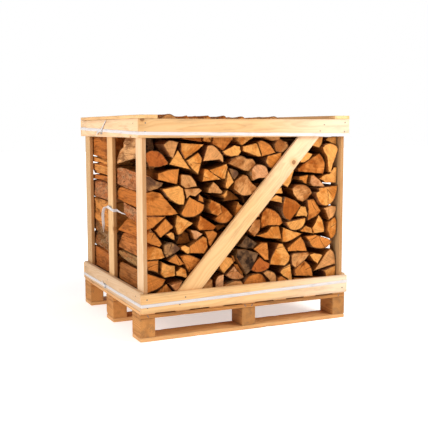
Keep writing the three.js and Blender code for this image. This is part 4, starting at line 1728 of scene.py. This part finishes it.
# The logs on top, named from left to right, and the smaller ones that fill in between them.
TOP_PLAN: tuple[LogPlan, ...] = log_plans((
    (T, (-49.7, 101, -48.4, 108.8, -43, 112.1, -37.2, 108.8, -36.3, 101.2, -37.2, 100.1, -48.8, 100.1), 5),
    (H, (-25.2, 107.6, -24.2, 110.7, -23.4, 110.2, -22, 111.4, -20.4, 110.6, -19.2, 105, -19.9, 97.7,
        -24.5, 98.4)),
    (A, (-18.6, 107.5, -16, 110.8, -12, 110.9, -8.3, 105.2, -8, 99.4, -13.3, 93.6, -19.3, 97.2), 4),
    (H, (-5.6, 107.6, -3, 111, 4.4, 106.8, 4.6, 100.4, -2.7, 96, -5, 98.6), 3),
    (T, (10.7, 107, 14.4, 110.8, 20.3, 104.6, 19.7, 98.9, 15.5, 98.1, 10.9, 99.7), 3),
    (A, (41, 105, 44, 109, 48.5, 107.8, 50, 103, 49.6, 100.6, 40.4, 100.6), 4),
))
TOP_FILL: tuple[LogPlan, ...] = log_plans((
    (A, (-35.8, 106, -34.6, 109.2, -33.2, 111.4, -31.8, 109.6, -30, 109.8, -28.4, 111.3, -26.8, 109.4,
        -25.7, 105, -25.5, 98, -35.5, 99.6)),
    (T, (5.4, 106.2, 7.6, 109.8, 10, 106.6, 10.3, 100, 5.2, 100.2), 3),
    (D, (21.2, 104, 26.2, 106.7, 30.8, 104.6, 31.4, 99.9, 23, 99.9, 20.9, 100), 3, 1),
    (H, (31.8, 101.4, 35.2, 106, 39.2, 104.4, 39.8, 100.2), 3),
    (A, (51, 106.2, 54, 108.6, 55.6, 105.8, 55.6, 101.2, 51, 100.8), 3),
))

# What shows of the front row's outermost logs at the left side, by their place in the plan.
FRONT_FLANK: dict[int, FlankPlan] = {
    0: FlankPlan(Side.SPLIT_TAN, False, (
        (48, 90.2, 101), (42, 90, 101), (32, 89.6, 101), (24, 88.8, 101), (17, 88, 99.6),
        (13.5, 87.5, 97.4, 0.3), (12.5, 87.4, 95.4, 0.8), (9, 87, 94, 0.2), (5, 86.4, 90.8),
        (1.5, 86, 88, 0.3))),
    1: FlankPlan(Side.BARK_BROWN, True, (
        (48, 88.5, 94), (42, 85, 92, 3), (30, 85.5, 90, 9), (1, 86, 90, 11))),
    8: FlankPlan(Side.BARK_ROSE, True, (
        (48, 73.7, 82), (32, 73.7, 83.4), (20, 73.9, 84.4), (10, 74.6, 84.8), (4, 75, 84.6),
        (1, 76, 83.5, 0.4))),
    10: FlankPlan(Side.SPLIT_AMBER, False, (
        (48, 61.9, 73.9), (32, 64.8, 73.5), (20, 65.9, 73.9), (9, 67, 74.2), (5, 67.2, 73.2),
        (3, 67.5, 70.8), (2, 68, 69.5, 0.3))),
    15: FlankPlan(Side.BARK_ROSE, True, (
        (48, 54.7, 61.6), (42, 57, 63.8), (32, 57.6, 64.6), (20, 58.6, 65.5), (12, 60, 66.4, 0.3),
        (9.5, 60.5, 66, 1.6))),
    18: FlankPlan(Side.SPLIT_AMBER, False, (
        (48, 48.8, 52.5), (42, 49.2, 57), (32, 49.7, 57.8), (18, 49.8, 58.2), (10, 49.9, 55.4),
        (5, 49.9, 52.4), (2, 49.9, 50.7, 0.2))),
    22: FlankPlan(Side.BARK_RUST, False, (
        (48, 40.1, 45), (42, 40.1, 48.6), (32, 40.2, 49.4), (16, 40.3, 49.4), (8, 40.6, 48.8),
        (5, 40.7, 45.8), (2, 40.9, 42.4, 0.2))),
    28: FlankPlan(Side.BARK_GREY, True, (
        (48, 36.5, 40), (42, 34.4, 39.9), (32, 34.4, 39.9), (15, 35, 40), (4, 36, 39.6),
        (1, 36.6, 39, 0.5))),
    31: FlankPlan(Side.SPLIT_BROWN, False, (
        (48, 23.4, 34.1), (32, 23.5, 33.8), (9, 23.6, 34), (5, 24, 33.2), (2, 25, 30, 0.4))),
    115: FlankPlan(Side.BARK_BROWN, True),
}
# The back row's own outermost logs at the left side, from the top down.
BACK_LEFT: tuple[tuple[LogPlan, FlankPlan], ...] = (
    (LogPlan(A, ((-55.7, 101), (-44, 101), (-38, 97), (-40, 88.5), (-55.7, 89))),
     FlankPlan(Side.SPLIT_AMBER, False, (
        (48, 89.6, 101), (30, 88.5, 101), (15, 87.4, 101), (2, 87, 101)), 1.0)),
    (LogPlan(H, ((-55.7, 88.9), (-46, 88.6), (-38, 87), (-46, 84.8), (-53.5, 84.9), (-55.7, 86))),
     FlankPlan(Side.SPLIT_HONEY, False, (
        (48, 85.4, 89.6), (38, 85.1, 88.9), (30, 85.6, 88.1), (20, 84.6, 87.2), (2, 84, 86.8)), 1.0)),
    (LogPlan(H, (
        (-55.7, 84.6), (-53.6, 85.1), (-47, 85), (-40, 83.6), (-39, 80), (-45, 78.5), (-53.6, 78.4),
        (-55.7, 80))),
     FlankPlan(Side.SPLIT_HONEY, False, (
        (48, 81.8, 84.8), (42, 80.6, 84.8), (35, 79.2, 84.7), (15, 78.2, 84), (2, 78, 83.8)), 1.0)),
    (LogPlan(A, ((-55.7, 78), (-46, 78.6), (-39, 77.5), (-40, 75), (-46, 74.6), (-55.7, 75))),
     FlankPlan(Side.SPLIT_AMBER, False, (
        (48, 74.8, 78), (40, 75, 78.4), (30, 75.4, 78.4), (22, 75, 78.4), (2, 73.8, 78)), 1.0)),
    (LogPlan(T, (
        (-44, 64.4), (-54.4, 64.8), (-55.7, 69.6), (-54.6, 74.9), (-44, 75), (-38, 73), (-38, 66)), 5),
     FlankPlan(Side.BARK_ROSE, True, (
        (48, 64.8, 74.6), (42, 64.8, 74.9), (32, 64.8, 75.4), (22, 64.6, 75), (15, 64.4, 73.8),
        (2, 64, 73.4)), 1.0)),
    (LogPlan(H, ((-55.7, 64.6), (-43, 64.8), (-38, 60), (-39, 54), (-45, 52.6), (-55.7, 53))),
     FlankPlan(Side.SPLIT_HONEY, False, (
        (48, 53, 64.9), (44, 52.4, 64.8), (35, 51, 64.6), (28, 49, 64.5), (15, 46.4, 64.3),
        (2, 46, 64)), 1.0)),
    (LogPlan(G, (
        (-55.7, 52.9), (-46, 52.8), (-39, 50), (-39, 46), (-46, 43.8), (-53.8, 43.8), (-55.7, 45.6))),
     FlankPlan(Side.BARK_BROWN, True, (
        (48, 45.6, 53, 0.3), (44, 45, 52.4, 0.3), (35, 44.2, 50.8, 0.2), (25, 43.2, 49), (15, 41.4, 47),
        (2, 41, 46)), 1.0)),
    (LogPlan(R, (
        (-44, 35.6), (-54.6, 35.8), (-55.7, 39.6), (-54, 44.2), (-44, 44.4), (-39, 43), (-39, 37)), 4),
     FlankPlan(Side.BARK_BROWN, True, (
        (48, 35.8, 41), (42, 35.8, 42.4), (36, 36, 43.6), (26, 35.8, 44), (20, 35.4, 43), (15, 35.2, 41),
        (2, 35.2, 41)), 1.0)),
    (LogPlan(A, ((-55.7, 35.6), (-45, 35.8), (-39, 33), (-40, 24), (-55.7, 24))),
     FlankPlan(Side.SPLIT_RUST, False, (
        (48, 24, 36.2, 0.2), (42, 24, 36.3), (35, 24, 35.6), (25, 24, 35.2), (15, 24, 34.6),
        (2, 24, 34.4)), 1.0)),
    (LogPlan(T, ((-55.7, 23), (-40, 23), (-40, 17), (-55.7, 17))),
     FlankPlan(Side.BARK_BROWN, True)),
)


@dataclass
class FirewoodStack:
    """All the firewood: two rows of logs end to end, and the logs that lie on top."""

    materials: list[Material]
    outer_end: float = 0.476
    inner_end: float = 0.008
    overturn: float = 118.0
    courses: tuple[float, ...] = (38.0, 56.0, 75.0, 90.0, 200.0)

    def turned(self, plan: LogPlan) -> LogPlan:
        """The same section turned over, for the back row."""
        return replace(plan, corners=tuple((x, self.overturn - z) for x, z in plan.corners))

    def mirrored(self, plan: LogPlan) -> LogPlan:
        """The same section seen in a mirror, for the logs on top of the back row."""
        return replace(plan, corners=tuple((-x, z) for x, z in plan.corners))

    def retoned(self, plan: LogPlan, rng: np.random.Generator) -> LogPlan:
        """The same section in a tone of its own.

        Args:
            plan: the section.
            rng: the seeded source.

        Returns:
            The section.
        """
        tones = [Tone.AMBER] * 6 + [Tone.HONEY] * 7 + [Tone.TAN] * 4 + [Tone.ROSE] * 2 + [Tone.RUST,
                                                                                          Tone.GREY]
        # Ends in the painted-shade tone keep it.
        tone = tones[rng.integers(len(tones))] if plan.tone is not Tone.PAINTED_SHADE else Tone.PAINTED_SHADE
        return replace(plan, tone=tone)

    def span(self, plan: LogPlan, row: int, rng: np.random.Generator,
             flank: Optional[FlankPlan] = None) -> tuple[float, float]:
        """Where a log starts and ends along Y.

        Args:
            plan: the log.
            row: -1 for the front row, 1 for the back row.
            rng: the seeded source.
            flank: its long face at the crate's side, if it has one.

        Returns:
            Its two ends, from low to high.
        """
        outer = self.outer_end - plan.back * CM - rng.uniform(0, 0.011)
        inner = self.inner_end + rng.uniform(0, 0.03)
        if flank is not None and flank.profile:
            inner = min(mark[0] for mark in flank.profile) * CM
        return (-outer, -inner) if row < 0 else (inner, outer)

    def row(self, name: str, row: int, plans: Sequence[tuple[LogPlan, Optional[FlankPlan]]],
            seed: int) -> list[Piece]:
        """Builds one row, a piece for each course.

        Args:
            name: the row's name.
            row: -1 for the front row, 1 for the back row.
            plans: its logs, with the long faces that show at the side.
            seed: the row's seed.

        Returns:
            The pieces.
        """
        drafts = [MeshDraft() for _ in self.courses]
        rng = np.random.default_rng(seed)
        for k, (plan, flank) in enumerate(plans):
            corners = np.array(plan.corners)
            at_side = bool(np.abs(corners[:, 0]).max() > 55)
            course = next(i for i, top in enumerate(self.courses) if corners[:, 1].mean() < top)
            SplitLog(plan, self.span(plan, row, rng, flank), seed * 1000 + k, at_side,
                     flank).build(drafts[course])
        return [settle(draft.object(f"{name}_row_course_{i + 1}", self.materials), "firewood",
                       f"log_stack_{name}") for i, draft in enumerate(drafts) if draft.count]

    def build(self) -> None:
        """Builds every log."""
        self.row("front", -1, [(p, FRONT_FLANK.get(k)) for k, p in enumerate(FRONT_PLAN)], 11)
        rng = np.random.default_rng(5)
        turned = [self.turned(plan) for k, plan in enumerate(FRONT_PLAN) if k not in FRONT_FLANK]
        back = [(self.retoned(plan, rng), None) for plan in turned]
        self.row("back", 1, back + list(BACK_LEFT), 12)
        for row, name in ((-1, "front"), (1, "back")):
            named = [p for k, p in enumerate(TOP_PLAN) if row < 0 or k != 1]
            for k, plan in enumerate(named):
                plan = plan if row < 0 else self.mirrored(plan)
                low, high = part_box(f"top_log_{name}_{k + 1}")
                draft = MeshDraft()
                # Logs on top: their long faces get a little painted light in place of painted shade.
                SplitLog(plan, (low.y + 0.001, high.y - 0.001), 500 + 20 * row + k, True,
                         painted_side_shade=1.1).build(draft)
                settle(draft.object(f"top_{name}_log_{k + 1}", self.materials), "firewood",
                       f"top_log_{name}_{k + 1}")
            draft = MeshDraft()
            for k, plan in enumerate(TOP_FILL):
                plan = plan if row < 0 else self.mirrored(plan)
                SplitLog(plan, self.span(plan, row, rng), 600 + 20 * row + k, True, painted_side_shade=1.0).build(draft)
            settle(draft.object(f"top_{name}_small_logs", self.materials), "firewood", f"log_stack_{name}")


# ---- The crate and its pallet ----


@dataclass
class Pallet:
    """The pallet's boards and blocks."""

    board_finish: Material
    block_finish: Material

    def build(self) -> None:
        """Builds every board and block."""
        for k, row in enumerate(("front", "middle", "back")):
            SawnBoard(f"bottom_board_{row}", self.board_finish, "pallet_board", 101 + k, ease=2.5 * MM,
                      nick=2.5 * MM).build()
            # Stringers take the darker block finish and low brightness: partly their dirty orange wood,
            # partly painted shade under the deck.
            SawnBoard(f"stringer_{row}", self.block_finish, "pallet_board", 111 + k, ease=2 * MM,
                      tone_and_painted_light=0.3).build()
            for c, column in enumerate(("left", "centre", "right")):
                # Each column of blocks has its own brightness: partly its own tone, partly painted light and
                # shade.
                SawnBoard(f"block_{row}_{column}", self.block_finish, "pallet_block", 121 + 3 * k + c,
                          ease=2 * MM, nick=2.5 * MM, step=14 * MM, pith=18 * MM, along=1,
                          tone_and_painted_light=(0.5, -0.3, -0.3)[c]).build()
        for k in range(7):
            SawnBoard(f"deck_board_{k + 1}", self.board_finish, "pallet_board", 141 + k, nick=2 * MM).build()


@dataclass
class CrateTimber:
    """The crate's rails, caps, posts and braces."""

    finish: Material
    pale: Material
    # Each board's brightness: partly its own tone, partly painted light and shade, as on the lighter bottom
    # front rail and the darker top front rail.
    tones_and_painted_light: dict[str, float] = field(default_factory=lambda: {
        "top_front": 0.0, "bottom_front": 0.7, "bottom_left": 0.1, "left_back": -0.3, "left_middle": 0.1,
        "left_front": 0.35, "right_front": -0.4})
    knots: dict[str, tuple[float, float, float]] = field(default_factory=lambda: {
        "top_front": (-0.585, -0.52, 1.094), "top_left": (-0.6, -0.39, 1.001)})

    def build(self) -> None:
        """Builds every board."""
        seed = 200
        for side in ("front", "back", "left", "right"):
            for level in ("bottom", "top"):
                seed += 1
                # Side boards take the paler finish: painted light for the crate's side.
                finish = self.pale if side in ("left", "right") else self.finish
                tone_and_painted_light = self.tones_and_painted_light.get(f"{level}_{side}", 0.5)
                SawnBoard(f"rail_{level}_{side}", finish, "crate_board", seed, tone_and_painted_light=tone_and_painted_light,
                          painted_light=side == "front", knot_at=self.knots.get(f"{level}_{side}")).build()
        for side in ("left", "right"):
            seed += 1
            SawnBoard(f"cap_{side}", self.finish, "crate_board", seed).build()
            for place in ("front", "middle", "back"):
                seed += 1
                knot = (-0.58, -0.0275, 0.51) if (side, place) == ("left", "middle") else None
                # The left front post, seen from the side, takes the same painted side light.
                finish = self.pale if (side, place) == ("left", "front") else self.finish
                SawnBoard(f"post_{side}_{place}", finish, "crate_board", seed, knot_at=knot, narrow_face_shade=True,
                          tone_and_painted_light=self.tones_and_painted_light.get(f"{side}_{place}", 0.5)).build()
        SawnBoard("brace_front", self.finish, "crate_board", 231, pith=90 * MM, knot_at=(0.265, -0.5, 0.87),
                  painted_light=True).build()
        SawnBoard("brace_back", self.finish, "crate_board", 232, pith=90 * MM).build()

    def nail(self, nails: Nails) -> None:
        """Drives the nails.

        Args:
            nails: where their heads are gathered.
        """
        rng = np.random.default_rng(77)

        def nudge() -> float:
            """How far a nail misses its mark."""
            return rng.uniform(-4, 4) * MM

        for face in (-1, 1):
            for low in (0.148, 1.004):
                for x in (-0.57, 0.57):
                    for z in (low + 0.027, low + 0.07):
                        nails.drive((x + nudge() * 0.5, face * 0.52, z + nudge()), (0, face, 0))
            for x, z in ((-0.4, 0.18), (-0.37, 0.215), (0.415, 1.035), (0.44, 1.07)):
                nails.drive((x + nudge(), face * 0.52, z + nudge()), (0, face, 0))
            for low in (0.156, 1.004):
                for y in (-0.452, 0.02, 0.452):
                    for dy, dz in ((-0.024, 0.03), (0.022, 0.066)):
                        nails.drive((face * 0.6, y + dy + nudge(), low + dz + nudge()), (face, 0, 0))
            for y in (-0.5, -0.43, 0.0, 0.04, 0.43, 0.5):
                nails.drive((face * 0.575 + nudge(), y + nudge(), 1.115), (0, 0, 1))
            for x in (-0.56, -0.02, 0.02, 0.56):
                for z in (0.126, 0.132):
                    nails.drive((x + nudge(), face * 0.5, z), (0, face, 0))


# ---- The studio ----


@dataclass
class Studio:
    """The camera, the floor and the soft lights."""

    place: tuple[float, float, float] = (-1.811, -3.946, 1.048)
    yaw: float = 0.4373
    pitch: float = 0.1123
    roll: float = -0.0023
    lens: float = 63.77

    def camera(self) -> Piece:
        """Places the camera.

        Returns:
            The camera.
        """
        ahead = Vector((math.sin(self.yaw) * math.cos(self.pitch), math.cos(self.yaw) * math.cos(self.pitch),
                        -math.sin(self.pitch)))
        right = Vector((math.cos(self.yaw), -math.sin(self.yaw), 0))
        up = right.cross(ahead)
        turned = right * math.cos(self.roll) + up * math.sin(self.roll)
        up = up * math.cos(self.roll) - right * math.sin(self.roll)
        data = bpy.data.cameras.new("camera")
        data.lens, data.sensor_width, data.clip_end = self.lens, 36.0, 100.0
        camera = bpy.data.objects.new("camera", data)
        bpy.context.scene.collection.objects.link(camera)
        turn = Matrix((turned, up, -ahead)).transposed().to_4x4()
        camera.matrix_world = Matrix.Translation(Vector(self.place)) @ turn
        bpy.context.scene.camera = camera
        bpy.context.scene.view_settings.view_transform = "Standard"
        return camera

    def light(self, name: str, place: Sequence[float], aim: Sequence[float], size: float, watts: float,
              colour: Colour = (1.0, 1.0, 1.0)) -> None:
        """Places a soft square light.

        Args:
            name: its name.
            place: where it stands.
            aim: the point it looks at.
            size: its side.
            watts: its power.
            colour: its colour.
        """
        data = bpy.data.lights.new(name, "AREA")
        data.shape, data.size, data.energy, data.color = "SQUARE", size, watts, colour
        light = bpy.data.objects.new(name, data)
        bpy.context.scene.collection.objects.link(light)
        light.location = place
        light.rotation_euler = (Vector(aim) - Vector(place)).to_track_quat("-Z", "Y").to_euler()

    def build(self) -> None:
        """Makes the floor, the sky and the lights."""
        bpy.ops.mesh.primitive_grid_add(x_subdivisions=8, y_subdivisions=8, size=60, location=(0, 0, -0.0005))
        floor = bpy.context.object
        floor.name = "floor"
        floor.data.materials.append(StudioFloorFinish().material())
        world = bpy.data.worlds.new("studio_sky")
        bpy.context.scene.world = world
        world.use_nodes = True
        nodes, links = world.node_tree.nodes, world.node_tree.links
        sky = nodes["Background"]
        # The sky behind the crate is white, and lights it more softly than it shows.
        seen = nodes.new("ShaderNodeLightPath")
        level = nodes.new("ShaderNodeMapRange")
        level.inputs["To Min"].default_value, level.inputs["To Max"].default_value = 0.42, 1.0
        links.new(seen.outputs["Is Camera Ray"], level.inputs["Value"])
        links.new(level.outputs[0], sky.inputs["Strength"])
        sky.inputs["Color"].default_value = (1.0, 1.0, 1.0, 1.0)
        self.light("key_light", (2.6, -3.4, 2.5), (0.2, 0, 0.7), 1.6, 78, (1.0, 0.97, 0.9))
        self.light("corner_light", (1.25, -1.5, 1.9), (0.5, -0.5, 1.05), 0.6, 14, (0.9, 0.96, 1.0))
        self.light("left_fill", (-3.6, -1.2, 2.0), (-0.6, 0, 0.7), 1.8, 62, (1.0, 0.97, 0.93))


# ---- Making it all ----


def make_finishes() -> dict[str, Any]:
    """Makes every material once.

    Returns:
        The materials by name, and the three of the firewood as a list.
    """
    return {"crate": SawnBoardFinish("crate_pine", paint("eebf86"), paint("d29858"),
                                     contrast=0.38).material(),
            # The side boards' paler, pinker pine is painted light: the crate pine as it looks in the light on
            # the crate's side.
            "pale": SawnBoardFinish("crate_pine_side_light", paint("f0cba2"), paint("daa772"),
                                    contrast=0.38).material(),
            "pallet": SawnBoardFinish("pallet_pine", paint("eab274"), paint("b8743a"), dirt=0.4,
                                      ring=5 * MM).material(),
            "block": SawnBoardFinish("pallet_block", paint("d69450"), paint("965a28"), dirt=0.5,
                                     ring=4 * MM, knots=0.0, roughness=0.8).material(),
            "logs": [SawnEndFinish().material(), SplitFaceFinish().material(), BarkFinish().material()],
            "tape": TapeFinish().material(), "wire": SteelFinish("buckle_wire", paint("b9bcc0"),
                                                                 paint("80807e")).material(),
            "nail": SteelFinish("nail_steel", paint("8b8178"), paint("5f5348"), 0.55).material(),}


def main() -> None:
    """Builds the whole crate in order and reports it."""
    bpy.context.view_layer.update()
    logging.basicConfig(level=logging.INFO, format="%(name)s: %(message)s")
    studio = Studio()
    studio.camera()
    finishes = make_finishes()
    straps = Straps(finishes["tape"], finishes["wire"])
    middle_buckle = straps.buckle("buckle_middle", 43)
    tail = straps.tail()
    straps.top()
    straps.bottom()
    straps.middle()
    straps.buckle("buckle_top", 41)
    straps.buckle("buckle_bottom", 42)
    Pallet(finishes["pallet"], finishes["block"]).build()
    timber = CrateTimber(finishes["crate"], finishes["pale"])
    timber.build()
    nails = Nails(finishes["nail"])
    timber.nail(nails)
    nails.build()
    FirewoodStack(finishes["logs"]).build()
    studio.build()
    left = [o.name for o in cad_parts.values() if not o.hide_render]
    log.info("CAD nodes still shown: %s", left or "none")


if __name__ == "__main__":
    main()
